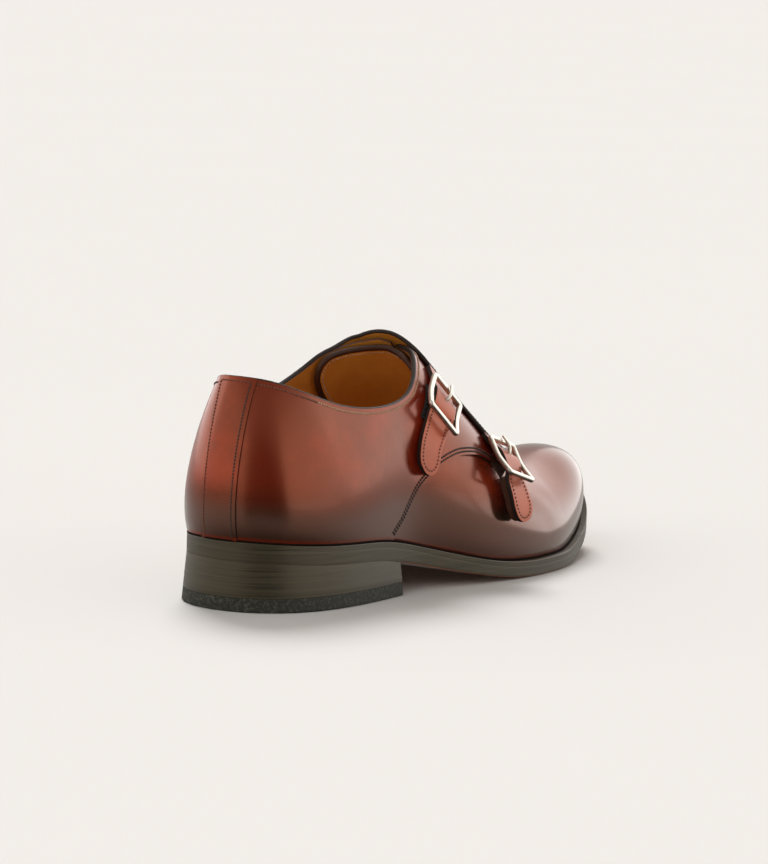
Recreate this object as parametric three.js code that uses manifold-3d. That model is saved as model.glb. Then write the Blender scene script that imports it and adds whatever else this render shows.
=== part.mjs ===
// A double monk strap shoe for the right foot.
// +Y runs from heel to toe, +X is the outer (buckled) side, +Z is up, and all sizes are millimetres.
// Every piece follows one last: ribs that rise from the feather line, where upper meets sole,
// to a crest line over the foot. Pieces of the upper are sheets at set heights over that last.
import * as THREE from "three";
import { mergeVertices } from "three/addons/utils/BufferGeometryUtils.js";
import Module from "manifold-3d";

const wasm = await Module();
wasm.setup();

// Driving sizes of the last
const LAST_LENGTH = 287;
const LAST_WIDTH = 92;
const INSTEP = 90;
const HEEL_HEIGHT = 21.4;
const TOE_SPRING = 21.5;

// Sole and heel
const SEAT_EDGE = 8.4;
const BALL_EDGE = 7.2;
const WELT = 2.4;
const WELT_WIDTH = 9;
const SHELF = 3.6;
const SEAT_SHELF = 2;
const SHELF_STARTS = 26;
const SHELF_ENDS = 34;
const HEEL_LENGTH = 86;
const HEEL_FLARE = 1.5;
const BREAST_RADIUS = 75;
const BREAST_ROOM = 12;
const TOP_PIECE = 6;
const INSOLE = 2.4;

// Leathers of the upper
const WALL = 2.2;
const QUARTER = 1.2;
const FLAP = 2;
const TONGUE = 1.8;
const BACK_STRIP_WIDTH = 17;
const CLIMB_WIDTH = 8;
const CLEAR = 0.3;

// Straps and their buckles
const STRAP_WIDTH = 15;
const STRAP = 2;
const HOLE_RADIUS = 1.5;
const BUCKLE_WIDTH = 23;
const BUCKLE_LENGTH = 22.5;
const FRAME_RADIUS = 1.2;
const BAR_RADIUS = 0.9;
const PRONG_RADIUS = 0.8;
// How far along its strap each buckle's middle bar lies, and how the buckle is tipped, in degrees
const UPPER_SEAT = 21.5;
const UPPER_LEAN = 6;
const UPPER_TWIST = 4;
const LOWER_SEAT = 14;
const LOWER_LEAN = 11;
const LOWER_TWIST = 13;
// How far each buckle, and then its strap's tip, stands off the leather below
const UPPER_STAND = 0.3;
const LOWER_STAND = 2;
const UPPER_TIP_STAND = 0.3;
const LOWER_TIP_STAND = 0.6;
const ELASTIC_WIDTH = 12;
const ELASTIC = 0.6;

// How finely the curves are cut
const STATIONS = 34;
const RIB_STEPS = 11;
const CURVE_STEPS = 26;
const ROUND_STEPS = 10;

// Sections of the last, heel to toe. "at" is the share of LAST_LENGTH and arch a share of HEEL_HEIGHT,
// spring of TOE_SPRING, crestAt of LAST_LENGTH, crestZ of INSTEP, and the others shares of LAST_WIDTH.
// outer and inner are the feather line's reach to each side; rise is a share of the rib's own height.
const COLUMNS = [
  "at", "outer", "inner", "arch", "spring", "crestAt", "crestX", "crestZ",
  "bulgeOuter", "bulgeInner", "rise", "flat",
];
const SECTIONS = [
  [0.0, 0.0, 0.0, 1.0, 0.0, 0.093, 0.0, 1.06, 0.1, 0.1, 0.29, 0.14],
  [0.03, 0.232, 0.232, 0.97, 0.0, 0.106, 0.0, 1.06, 0.105, 0.105, 0.29, 0.14],
  [0.09, 0.338, 0.338, 0.91, 0.0, 0.138, 0.0, 1.08, 0.11, 0.115, 0.3, 0.14],
  [0.18, 0.374, 0.368, 0.845, 0.0, 0.209, 0.0, 1.12, 0.11, 0.135, 0.36, 0.16],
  [0.27, 0.364, 0.334, 0.76, 0.0, 0.287, 0.0, 1.15, 0.1, 0.17, 0.45, 0.19],
  [0.36, 0.359, 0.27, 0.54, 0.0, 0.365, 0.0, 1.125, 0.11, 0.24, 0.48, 0.2],
  [0.46, 0.428, 0.27, 0.265, 0.0, 0.46, 0.0, 0.985, 0.12, 0.26, 0.48, 0.2],
  [0.55, 0.475, 0.335, 0.075, 0.0, 0.55, 0.0, 0.795, 0.12, 0.2, 0.48, 0.21],
  [0.64, 0.483, 0.43, -0.005, 0.0, 0.64, 0.0, 0.598, 0.11, 0.12, 0.5, 0.23],
  [0.73, 0.449, 0.49, 0.0, -0.01, 0.73, 0.0, 0.47, 0.09, 0.09, 0.52, 0.26],
  [0.81, 0.37, 0.468, 0.0, 0.09, 0.81, -0.01, 0.42, 0.08, 0.08, 0.55, 0.27],
  [0.88, 0.28, 0.405, 0.0, 0.28, 0.88, -0.02, 0.396, 0.07, 0.07, 0.55, 0.25],
  [0.94, 0.176, 0.312, 0.0, 0.555, 0.94, -0.04, 0.32, 0.05, 0.05, 0.55, 0.19],
  [0.98, 0.072, 0.205, 0.0, 0.795, 0.98, -0.05, 0.19, 0.03, 0.03, 0.55, 0.11],
  [1.0, -0.055, -0.055, 0.0, 0.92, 1.0, -0.055, 0.0, 0.0, 0.0, 0.55, 0.0],
];

// Outlines seen from the side: [share of LAST_LENGTH, share of INSTEP above the feather line]
const BACK_TOP = [
  [-0.06, 0.78], [0.007, 0.772], [0.033, 0.77], [0.058, 0.753],
  [0.086, 0.724], [0.118, 0.693], [0.156, 0.66], [0.205, 0.642],
];
const OUTER_TOP = [
  ...BACK_TOP,
  [0.262, 0.652], [0.307, 0.69], [0.341, 0.746], [0.369, 0.822],
  [0.389, 0.888], [0.415, 0.954], [0.439, 0.99], [0.458, 1.02],
];
const INNER_TOP = [
  ...BACK_TOP,
  [0.255, 0.664], [0.291, 0.711], [0.333, 0.805], [0.365, 0.901],
  [0.394, 0.966], [0.417, 1.012], [0.442, 1.06],
];
const OUTER_SEAM = [
  [0.272, -0.1], [0.281, 0.016], [0.306, 0.114], [0.322, 0.194], [0.342, 0.276], [0.366, 0.346],
  [0.39, 0.408], [0.415, 0.454], [0.441, 0.488], [0.469, 0.506], [0.5, 0.51], [0.528, 0.492],
  [0.549, 0.475], [0.575, 0.465], [0.605, 0.49], [0.628, 0.54], [0.64, 0.7],
];
const INNER_SEAM = [
  [0.3, -0.1], [0.31, 0.02], [0.33, 0.1], [0.36, 0.2], [0.4, 0.28],
  [0.46, 0.345], [0.52, 0.37], [0.58, 0.4], [0.625, 0.45], [0.65, 0.52], [0.662, 0.7],
];
const FLAP_EDGE = [
  [0.442, 1.2], [0.4425, 1.04], [0.444, 0.98], [0.449, 0.925], [0.457, 0.87], [0.472, 0.81],
  [0.5, 0.765], [0.529, 0.715], [0.551, 0.655], [0.565, 0.585], [0.592, 0.53], [0.615, 0.505],
  [0.638, 0.52], [0.655, 0.565], [0.662, 0.75],
];
const TONGUE_EDGE = [
  [0.43, 0.4], [0.42, 0.58], [0.408, 0.66], [0.38, 0.72], [0.36, 0.79], [0.358, 0.85],
  [0.367, 0.905], [0.388, 0.95], [0.414, 0.99], [0.443, 1.03],
];
const TONGUE_OUTER_EDGE = [
  [0.46, 0.4], [0.45, 0.6], [0.44, 0.8], [0.437, 0.9], [0.44, 0.96], [0.443, 1.03],
];
const TONGUE_FRONT = 0.6;
const TONGUE_FOOT = 0.4;
const UNDERLAP = 12;

// Middle lines of the straps and elastics from buckle side to tip, in the same shares
const UPPER_STRAP = [
  [0.4565, 0.862], [0.432, 0.783], [0.4077, 0.704], [0.3835, 0.604],
  [0.3572, 0.472], [0.3515, 0.387], [0.349, 0.352],
];
const LOWER_STRAP = [
  [0.566, 0.58], [0.559, 0.525], [0.555, 0.469], [0.557, 0.4],
  [0.561, 0.332], [0.5625, 0.269], [0.567, 0.198],
];
const UPPER_ELASTIC = [[0.42, 0.72], [0.39, 0.7], [0.366, 0.67]];
const LOWER_ELASTIC = [[0.566, 0.49], [0.548, 0.465], [0.533, 0.44]];

// The last
const column = (name) => SECTIONS.map((row) => row[COLUMNS.indexOf(name)]);
const angleAt = (share) => Math.acos(1 - 2 * Math.min(1, Math.max(0, share)));
const ANGLES = column("at").map(angleAt);

// A smooth closed curve through values at rising knots, with even slope and bend all round
function closedSpline(knots, values, period) {
  const n = knots.length;
  const span = knots.map((k, i) => (i + 1 < n ? knots[i + 1] : knots[0] + period) - k);
  const rows = knots.map((_, i) => {
    const before = (i + n - 1) % n;
    const after = (i + 1) % n;
    const row = new Array(n + 1).fill(0);
    row[before] += span[before];
    row[i] += 2 * (span[before] + span[i]);
    row[after] += span[i];
    row[n] = 6 * ((values[after] - values[i]) / span[i] - (values[i] - values[before]) / span[before]);
    return row;
  });
  for (let i = 0; i < n; i++) {
    for (let j = 0; j < n; j++) {
      if (j === i || rows[j][i] === 0) continue;
      const factor = rows[j][i] / rows[i][i];
      for (let k = i; k <= n; k++) rows[j][k] -= factor * rows[i][k];
    }
  }
  const bend = rows.map((row, i) => row[n] / row[i]);
  return (x) => {
    const u = x - period * Math.floor((x - knots[0]) / period);
    let i = 0;
    while (i + 1 < n && knots[i + 1] <= u) i++;
    const j = (i + 1) % n;
    const d = u - knots[i];
    const e = span[i] - d;
    return (bend[i] * e ** 3 + bend[j] * d ** 3) / (6 * span[i])
      + (values[i] / span[i] - (bend[i] * span[i]) / 6) * e
      + (values[j] / span[i] - (bend[j] * span[i]) / 6) * d;
  };
}

// Angle 0 is the heel's back and PI the toe's tip; the outer side lies between, the inner side beyond
const FULL = 2 * Math.PI;
const returning = ANGLES.slice(1, -1).reverse().map((a) => FULL - a);
function round(outer, inner, sign = 1) {
  const back = inner.slice(1, -1).reverse().map((v) => sign * v);
  return closedSpline([...ANGLES, ...returning], [...outer, ...back], FULL);
}
const even = (name) => round(column(name), column(name));
// A column that passes through nothing at the toe's tip, so that the ribs close there smoothly
function closing(name) {
  const values = column(name);
  const last = values.length - 1;
  const knots = [...ANGLES, ...ANGLES.slice(0, last).reverse().map((a) => FULL - a)];
  const all = [...values, ...values.slice(0, last).reverse().map((v) => -v)];
  const tail = knots.slice(1, -1).reverse().map((k) => 2 * FULL - k);
  const tailValues = all.slice(1, -1).reverse();
  const curve = closedSpline([...knots, ...tail], [...all, ...tailValues], 2 * FULL);
  return (a) => curve(a <= Math.PI ? a : FULL - a);
}
const sideReach = round(column("outer"), column("inner"), -1);
const arch = even("arch");
const spring = even("spring");
const crestAt = even("crestAt");
const crestX = even("crestX");
const rise = even("rise");
const crestZ = closing("crestZ");
const flat = closing("flat");
const bulgeOuter = closing("bulgeOuter");
const bulgeInner = closing("bulgeInner");

const turned = (a) => a - FULL * Math.floor(a / FULL);
const stationY = (a) => (LAST_LENGTH * (1 - Math.cos(a))) / 2;
const blend = (x, from, to) => THREE.MathUtils.smoothstep(x, from, to);

// Heights of the sole's underside and of its top, where the upper stands, at a distance from the heel's back
function under(y) {
  const a = angleAt(y / LAST_LENGTH);
  const past = Math.max(0, y / LAST_LENGTH - 1);
  const lift = spring(a) + (past * (spring(Math.PI) - spring(angleAt(0.99)))) / 0.01;
  return Math.max(0, HEEL_HEIGHT * arch(a) + TOE_SPRING * lift);
}
function foot(y) {
  return under(y) + SEAT_EDGE + (BALL_EDGE - SEAT_EDGE) * blend(y, HEEL_LENGTH, HEEL_LENGTH + 70);
}

// The feather line grown sideways
function outline(a, grow) {
  const step = 1e-3;
  const slope = (LAST_WIDTH * (sideReach(a + step) - sideReach(a - step))) / (2 * step);
  const out = new THREE.Vector2((LAST_LENGTH * Math.sin(a)) / 2, -slope).normalize();
  return new THREE.Vector2(LAST_WIDTH * sideReach(a), stationY(a)).addScaledVector(out, grow);
}

function onLast(angle, t) {
  const a = turned(angle);
  const low = outline(a, 0);
  const out = outline(a, 1).sub(low);
  const zLow = foot(stationY(a));
  const height = INSTEP * crestZ(a);
  const bulge = LAST_WIDTH * (a <= Math.PI ? bulgeOuter(a) : bulgeInner(a));
  const start = new THREE.Vector3(low.x, low.y, zLow);
  const crest = new THREE.Vector3(LAST_WIDTH * crestX(a), LAST_LENGTH * crestAt(a), zLow + height);
  const lean = new THREE.Vector3(out.x * bulge, out.y * bulge, rise(a) * height).add(start);
  const inward = new THREE.Vector3(start.x - crest.x, start.y - crest.y, 0);
  if (inward.length() > 1e-9) inward.normalize();
  const over = inward.multiplyScalar(LAST_WIDTH * flat(a)).add(crest);
  const s = 1 - t;
  return start.multiplyScalar(s ** 3)
    .addScaledVector(lean, 3 * s * s * t)
    .addScaledVector(over, 3 * s * t * t)
    .addScaledVector(crest, t ** 3);
}

function normalOn(angle, t) {
  const a = turned(angle);
  if (Math.abs(a - Math.PI) < 1e-6) {
    const tip = outline(Math.PI, 1).sub(outline(Math.PI, 0));
    return new THREE.Vector3(tip.x, tip.y, 0);
  }
  const step = 2e-3;
  const along = onLast(a + step, t).sub(onLast(a - step, t));
  const up = onLast(a, Math.min(1, t + step)).sub(onLast(a, Math.max(0, t - step)));
  const normal = along.cross(up).normalize();
  if (t > 1 - 1e-9 && a > 1e-6) {
    const other = FULL - a;
    const across = onLast(other + step, 1).sub(onLast(other - step, 1));
    const down = onLast(other, 1).sub(onLast(other, 1 - step));
    normal.add(across.cross(down).normalize()).normalize();
  }
  return normal;
}
const lifted = (a, t, lift) => onLast(a, t).addScaledVector(normalOn(a, t), lift);

// Closed solids from loops of points
function solid(points, triangles) {
  const geometry = new THREE.BufferGeometry().setFromPoints(points);
  geometry.setIndex(triangles.flat());
  return solidFrom(geometry);
}

function solidFrom(geometry) {
  const bare = new THREE.BufferGeometry();
  bare.setAttribute("position", geometry.getAttribute("position"));
  bare.setIndex(geometry.getIndex());
  const merged = mergeVertices(bare, 1e-4);
  const corners = merged.index.array;
  const kept = [];
  for (let i = 0; i < corners.length; i += 3) {
    const [a, b, c] = corners.slice(i, i + 3);
    if (a !== b && b !== c && c !== a) kept.push(a, b, c);
  }
  return new wasm.Manifold(new wasm.Mesh({
    numProp: 3,
    vertProperties: merged.getAttribute("position").array,
    triVerts: new Uint32Array(kept),
  }));
}

// A skin over equal loops; the first and last loops are filled as fans of quads across them
function loft(loops, closed = false) {
  const count = loops[0].length;
  const points = loops.flat();
  const triangles = [];
  const rings = closed ? loops.length : loops.length - 1;
  for (let i = 0; i < rings; i++) {
    const here = i * count;
    const next = ((i + 1) % loops.length) * count;
    for (let j = 0; j < count; j++) {
      const k = (j + 1) % count;
      triangles.push([here + j, here + k, next + k], [here + j, next + k, next + j]);
    }
  }
  if (!closed) {
    const end = (loops.length - 1) * count;
    for (let j = 0; j < count / 2 - 1; j++) {
      const [a, b, c, d] = [j, j + 1, count - 2 - j, count - 1 - j];
      triangles.push([a, c, b], [a, d, c]);
      triangles.push([end + a, end + b, end + c], [end + a, end + c, end + d]);
    }
  }
  const made = solid(points, triangles);
  if (made.volume() > 0) return made;
  return solid(points, triangles.map(([a, b, c]) => [a, c, b]));
}

const stations = (from, to, steps) =>
  Array.from({ length: steps + 1 }, (_, i) => from + ((to - from) * i) / steps);

// The last as a solid grown by a lift, which may change over its skin, and carried on below the sole line
function form(lift, drop = 4) {
  const liftAt = typeof lift === "function" ? lift : () => lift;
  const rib = (a) => stations(0, 1, RIB_STEPS).map((t) => lifted(a, t, liftAt(onLast(a, t))));
  const loops = stations(0, Math.PI, STATIONS).map((a) => {
    const outer = rib(a);
    const inner = rib(FULL - a).reverse();
    const base = [outer[0], inner[inner.length - 1]].map((p) => p.clone().setZ(foot(stationY(a)) - drop));
    return [base[0], ...outer, ...inner, base[1]];
  });
  return loft(loops);
}

// A plate between two heights that follow the sole, from the heel's back to the angle "to"
function plate({ grow, growBelow = grow, top, bottom, to = Math.PI }) {
  const loops = stations(0, to, STATIONS).map((a) => {
    const corner = (angle, reach, z) => {
      const p = outline(angle, reach(a));
      return new THREE.Vector3(p.x, p.y, z(p.y));
    };
    return [
      corner(a, growBelow, bottom),
      corner(a, grow, top),
      corner(FULL - a, grow, top),
      corner(FULL - a, growBelow, bottom),
    ];
  });
  return loft(loops);
}

// A side outline as points in (y, z), then pushed through from one x to another
const heightAt = ([share, high]) => foot(LAST_LENGTH * share) + INSTEP * high;
const sidePoint = (row) => new THREE.Vector2(LAST_LENGTH * row[0], heightAt(row));
const sideCurve = (rows, steps = CURVE_STEPS) =>
  new THREE.SplineCurve(rows.map(sidePoint)).getSpacedPoints(steps);
function through(points, xFrom, xTo) {
  const shape = new THREE.Shape(points);
  const depth = xTo - xFrom;
  const geometry = new THREE.ExtrudeGeometry(shape, { depth, bevelEnabled: false, steps: 1 });
  const turn = new THREE.Matrix4().set(0, 0, 1, xFrom, 1, 0, 0, 0, 0, 1, 0, 0, 0, 0, 0, 1);
  return solidFrom(geometry.applyMatrix4(turn));
}
function block(from, to) {
  const size = new THREE.Vector3().subVectors(to, from);
  const geometry = new THREE.BoxGeometry(size.x, size.y, size.z);
  return solidFrom(geometry.translate(...new THREE.Vector3().addVectors(from, to).multiplyScalar(0.5)));
}
const FAR = 2 * LAST_LENGTH;
const point2 = (y, z) => new THREE.Vector2(y, z);
const point3 = (x, y, z) => new THREE.Vector3(x, y, z);
const above = (curve) => [point2(curve[0].x, FAR), ...curve, point2(curve[curve.length - 1].x, FAR)];
const behind = (curve) => [point2(-FAR, -FAR), point2(curve[0].x, -FAR), ...curve,
  point2(curve[curve.length - 1].x, FAR), point2(-FAR, FAR)];

// Sole and heel
const shelf = (a) => SEAT_SHELF + (SHELF - SEAT_SHELF) * blend(stationY(a), HEEL_LENGTH - SHELF_STARTS, HEEL_LENGTH + SHELF_ENDS);
const breastAngle = angleAt((HEEL_LENGTH + BREAST_ROOM) / LAST_LENGTH);
const inset = () => -WELT_WIDTH + SEAT_SHELF;

const underWelt = (y) => foot(y) - WELT;
const weltHole = plate({ grow: inset, top: (y) => foot(y) + 1, bottom: (y) => underWelt(y) - 1 });
const welt = plate({ grow: shelf, top: foot, bottom: (y) => underWelt(y) + CLEAR / 2 }).subtract(weltHole);
const outsole = plate({ grow: shelf, top: underWelt, bottom: under }).add(
  plate({ grow: () => inset() - CLEAR, top: foot, bottom: (y) => underWelt(y) - 1 }),
);
const breast = solidFrom(
  new THREE.CylinderGeometry(BREAST_RADIUS, BREAST_RADIUS, FAR, 96)
    .rotateX(Math.PI / 2)
    .translate(0, HEEL_LENGTH + Math.sqrt(BREAST_RADIUS ** 2 - (LAST_WIDTH * 0.36) ** 2), 0),
);
const flareAt = (z) => (a) => SEAT_SHELF + HEEL_FLARE * (1 - z / HEEL_HEIGHT);
const heelStack = plate({
  grow: flareAt(HEEL_HEIGHT),
  growBelow: flareAt(TOP_PIECE),
  top: (y) => under(y) - CLEAR / 2,
  bottom: () => TOP_PIECE + CLEAR / 2,
  to: breastAngle,
}).subtract(breast);
const topPiece = plate({
  grow: flareAt(TOP_PIECE),
  growBelow: flareAt(0),
  top: () => TOP_PIECE,
  bottom: () => 0,
  to: breastAngle,
}).subtract(breast);
const insole = plate({
  grow: () => -WALL - 2 * CLEAR,
  top: (y) => foot(y) + CLEAR + INSOLE,
  bottom: (y) => foot(y) + CLEAR,
});

// The upper and the sheets laid over it
const soleLine = stations(-0.1, 1.1, 60).map((share) => point2(LAST_LENGTH * share, foot(LAST_LENGTH * share) + CLEAR));
const bed = through([point2(soleLine[0].x, -FAR), point2(soleLine[60].x, -FAR), ...soleLine.reverse()], -FAR, FAR);
const outerTop = through(above(sideCurve(OUTER_TOP)), 0, FAR);
const innerTop = through(above(sideCurve(INNER_TOP)), -FAR, 0);
const innerUnderTop = through(above(sideCurve(OUTER_TOP)), -UNDERLAP - CLEAR, 0);
const collar = outerTop.add(innerTop);
const lowerCollar = collar.add(innerUnderTop);
const upper = form(0).subtract(form(-WALL, 8)).subtract(lowerCollar).subtract(bed);

const sheet = (low, high) => form(high).subtract(form(low, 8)).subtract(bed);
const overlay = sheet(CLEAR, CLEAR + QUARTER);
const stripHalf = BACK_STRIP_WIDTH / 2;
const stripReach = LAST_LENGTH * 0.2;
const backGap = (from, to) => block(point3(from, -FAR, -FAR), point3(to, stripReach, FAR));
const backStrip = overlay.intersect(backGap(-stripHalf, stripHalf)).subtract(collar);
const quarterOuter = overlay
  .intersect(through(behind(sideCurve(OUTER_SEAM)), -UNDERLAP, FAR))
  .subtract(backGap(-FAR, stripHalf + CLEAR))
  .subtract(outerTop)
  .subtract(innerUnderTop);

// The inner quarter climbs from the upper onto the outer quarter where its flap crosses the instep
const flapLow = 2 * CLEAR + QUARTER;
const climb = (p) => blend(p.x, -UNDERLAP - CLIMB_WIDTH - 1, -UNDERLAP - 1) * blend(p.y, LAST_LENGTH * 0.2, LAST_LENGTH * 0.3);
const flapUnder = form((p) => CLEAR + (flapLow - CLEAR) * climb(p), 8);
const flapOver = form((p) => CLEAR + QUARTER + (flapLow + FLAP - CLEAR - QUARTER) * climb(p));
const quarterInner = flapOver.subtract(flapUnder).subtract(bed)
  .intersect(through(behind(sideCurve(INNER_SEAM)), -FAR, 0).add(flapCutter()))
  .subtract(backGap(-stripHalf - CLEAR, FAR))
  .subtract(innerTop);

function flapCutter() {
  const edge = sideCurve(FLAP_EDGE, 40);
  return through([...edge, point2(edge[edge.length - 1].x, FAR), point2(edge[0].x, FAR)], 0, FAR);
}

const tongueFront = LAST_LENGTH * TONGUE_FRONT;
const tongueShape = (rows, from, to) => {
  const edge = sideCurve(rows);
  const top = edge[edge.length - 1];
  return through([...edge, point2(top.x, FAR), point2(tongueFront, FAR), point2(tongueFront, edge[0].y)], from, to);
};
const tongueTop = -WALL - CLEAR;
const tongue = form(tongueTop).subtract(form(tongueTop - TONGUE, 8)).intersect(
  tongueShape(TONGUE_EDGE, -FAR, 0).add(tongueShape(TONGUE_OUTER_EDGE, 0, FAR)),
);

// Straps, elastics and buckles lie on the outer side, placed by their side outlines
function find(row) {
  const goal = sidePoint(row);
  let best = { miss: Infinity };
  for (const a of stations(0.05, Math.PI - 0.05, 60)) {
    for (const t of stations(0, 1, 30)) {
      const p = onLast(a, t);
      const miss = Math.hypot(p.y - goal.x, p.z - goal.y);
      if (miss < best.miss) best = { miss, a, t };
    }
  }
  let { a, t } = best;
  for (let i = 0; i < 12; i++) {
    const step = 1e-4;
    const p = onLast(a, t);
    const pa = onLast(a + step, t).sub(p).divideScalar(step);
    const pt = onLast(a, t - step).sub(p).divideScalar(-step);
    const det = pa.y * pt.z - pa.z * pt.y;
    const dy = goal.x - p.y;
    const dz = goal.y - p.z;
    a += (dy * pt.z - dz * pt.y) / det;
    t = Math.min(1, Math.max(0, t + (pa.y * dz - pa.z * dy) / det));
  }
  return { p: onLast(a, t), n: normalOn(a, t) };
}

// A path over the upper: points on the last with their normals, at equal shares of its length
function routeOf(rows, steps) {
  const found = rows.map(find);
  const places = new THREE.CatmullRomCurve3(found.map((f) => f.p));
  const normals = new THREE.CatmullRomCurve3(found.map((f) => f.n));
  return stations(0, 1, steps).map((u) => {
    const v = places.getUtoTmapping(u);
    const along = places.getTangent(v);
    const n = normals.getPoint(v);
    n.addScaledVector(along, -n.dot(along)).normalize();
    return { p: places.getPoint(v), n, along, across: new THREE.Vector3().crossVectors(n, along), u };
  });
}

function ribbon(route, width, thick, liftAt, tipLength) {
  const length = route.slice(1).reduce((sum, r, i) => sum + r.p.distanceTo(route[i].p), 0);
  const loops = route.map((r) => {
    const left = (1 - r.u) * length;
    const ease = Math.min(1, Math.max(0.02, left / tipLength));
    const half = (width / 2) * (tipLength > 0 ? Math.sqrt(1 - (1 - ease) ** 2) : 1);
    const low = r.p.clone().addScaledVector(r.n, liftAt(r.u * length, length));
    const high = low.clone().addScaledVector(r.n, thick);
    return [
      low.clone().addScaledVector(r.across, -half),
      low.clone().addScaledVector(r.across, half),
      high.clone().addScaledVector(r.across, half),
      high.clone().addScaledVector(r.across, -half),
    ];
  });
  return loft(loops);
}

// Heights over the last: the strap passes under the frame's cross bars and over its middle bar
const elasticLow = 2 * CLEAR + QUARTER;
const restLift = elasticLow + ELASTIC + CLEAR;
const barLift = restLift + BAR_RADIUS;
const overBar = barLift + BAR_RADIUS + CLEAR;
const frameLift = restLift + STRAP + 2 * CLEAR + FRAME_RADIUS;
const strapLift = (seat, stand, tipLift) => (s, length) => {
  const bump = Math.exp(-(((s - seat) / (BUCKLE_LENGTH * 0.26)) ** 4));
  const start = (restLift - flapLow - CLEAR / 3) * (1 - blend(s, 0, seat));
  return stand * blend(s, -2, seat) + restLift - start + (overBar - restLift) * bump
    + tipLift * blend(s, seat + BUCKLE_LENGTH / 2, length);
};

function rod(path, radius, closed = false) {
  const sides = ROUND_STEPS - 2;
  const loops = path.map((p, i) => {
    const before = path[closed ? (i + path.length - 1) % path.length : Math.max(0, i - 1)];
    const after = path[closed ? (i + 1) % path.length : Math.min(path.length - 1, i + 1)];
    const along = new THREE.Vector3().subVectors(after.at, before.at).normalize();
    const right = new THREE.Vector3().crossVectors(along, p.up).normalize();
    const up = new THREE.Vector3().crossVectors(right, along);
    return Array.from({ length: sides }, (_, k) => {
      const turn = (FULL * (k + 0.5)) / sides;
      return p.at.clone()
        .addScaledVector(right, radius * Math.cos(turn))
        .addScaledVector(up, radius * Math.sin(turn));
    });
  });
  return loft(loops, closed);
}

function buckle(route, middle, stand, lean = 0, twist = 0) {
  const length = route.slice(1).reduce((sum, r, i) => sum + r.p.distanceTo(route[i].p), 0);
  const seat = route.reduce((a, b) =>
    Math.abs(a.u * length - middle) < Math.abs(b.u * length - middle) ? a : b);
  const centre = seat.p.clone()
    .addScaledVector(seat.along, middle - seat.u * length)
    .addScaledVector(seat.n, barLift + stand);
  // Lean turns the buckle about its middle bar, and twist about its own upright
  const leaning = THREE.MathUtils.degToRad(lean);
  const up = seat.n.clone().applyAxisAngle(seat.across, -leaning);
  const along = seat.along.clone().applyAxisAngle(seat.across, -leaning)
    .applyAxisAngle(up, -THREE.MathUtils.degToRad(twist));
  const across = new THREE.Vector3().crossVectors(up, along);
  const place = (s, w, lift) => ({
    at: centre.clone()
      .addScaledVector(along, s)
      .addScaledVector(across, w)
      .addScaledVector(up, lift - barLift),
    up,
  });
  const halfLong = BUCKLE_LENGTH / 2 - FRAME_RADIUS;
  const halfWide = BUCKLE_WIDTH / 2 - FRAME_RADIUS;
  const corner = 2.2;
  const bow = (s) => barLift + (frameLift - barLift) * Math.min(1, Math.abs(s) / (halfLong - 1)) ** 1.5;
  const ring = [];
  for (const [cs, cw, start] of [[1, 1, 0], [-1, 1, 1], [-1, -1, 2], [1, -1, 3]]) {
    for (const k of stations(0, 1, 3)) {
      const turn = ((start + k) * Math.PI) / 2;
      const s = cs * (halfLong - corner) + corner * Math.cos(turn);
      const w = cw * (halfWide - corner) + corner * Math.sin(turn);
      ring.push([s, w]);
    }
    if (start === 0 || start === 2) continue;
    for (const share of [0.5, 0, -0.5]) ring.push([share * cs * halfLong, cw * halfWide, true]);
  }
  const ordered = ring
    .map(([s, w]) => [s, w, Math.atan2(w / halfWide, s / halfLong)])
    .concat([0.5, 0, -0.5].map((q) => [q * halfLong, halfWide, Math.atan2(1, q)]))
    .concat([0.5, 0, -0.5].map((q) => [q * halfLong, -halfWide, Math.atan2(-1, q)]))
    .filter(([s, w, turn], i, all) => all.findIndex((o) => Math.abs(o[2] - turn) < 1e-3) === i)
    .sort((a, b) => a[2] - b[2]);
  const frame = rod(ordered.map(([s, w]) => place(s, w, bow(s))), FRAME_RADIUS, true);
  const bar = rod([place(0, -halfWide, barLift), place(0, halfWide, barLift)], BAR_RADIUS);
  const tipLift = frameLift + FRAME_RADIUS + CLEAR + PRONG_RADIUS;
  const start = -BAR_RADIUS - CLEAR - PRONG_RADIUS;
  const prong = rod([
    place(start, 0, barLift),
    place(start - 0.3, 0, overBar + STRAP * 0.6),
    place(start - 1.6, 0, overBar + STRAP + 0.9),
    place(-halfLong * 0.6, 0, tipLift),
    place(-halfLong - 1.6, 0, tipLift - 0.2),
  ], PRONG_RADIUS);
  const hole = rod([
    place(start - 0.6, 0, barLift - 2),
    place(start - 1.2, 0, tipLift + 3),
  ], HOLE_RADIUS);
  return { frame: frame.add(bar), prong, hole };
}

const strapSteps = 26;
const upperRoute = routeOf(UPPER_STRAP, strapSteps);
const lowerRoute = routeOf(LOWER_STRAP, strapSteps);
const upperBuckle = buckle(upperRoute, UPPER_SEAT, UPPER_STAND, UPPER_LEAN, UPPER_TWIST);
const lowerBuckle = buckle(lowerRoute, LOWER_SEAT, LOWER_STAND, LOWER_LEAN, LOWER_TWIST);
const flapGrown = form(flapLow + FLAP + 3).subtract(form(CLEAR, 8)).intersect(flapCutter());
const strapLiftUpper = strapLift(UPPER_SEAT, UPPER_STAND, UPPER_TIP_STAND);
const strapLiftLower = strapLift(LOWER_SEAT, LOWER_STAND, LOWER_TIP_STAND);
const strapUpper = ribbon(upperRoute, STRAP_WIDTH, STRAP, strapLiftUpper, STRAP_WIDTH * 0.55)
  .subtract(upperBuckle.hole)
  .subtract(flapGrown);
const strapLower = ribbon(lowerRoute, STRAP_WIDTH, STRAP, strapLiftLower, STRAP_WIDTH * 0.55)
  .subtract(lowerBuckle.hole)
  .subtract(flapGrown);
const elasticLift = (stand) => (s, length) => elasticLow + stand * (1 - blend(s, 0, length));
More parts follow.
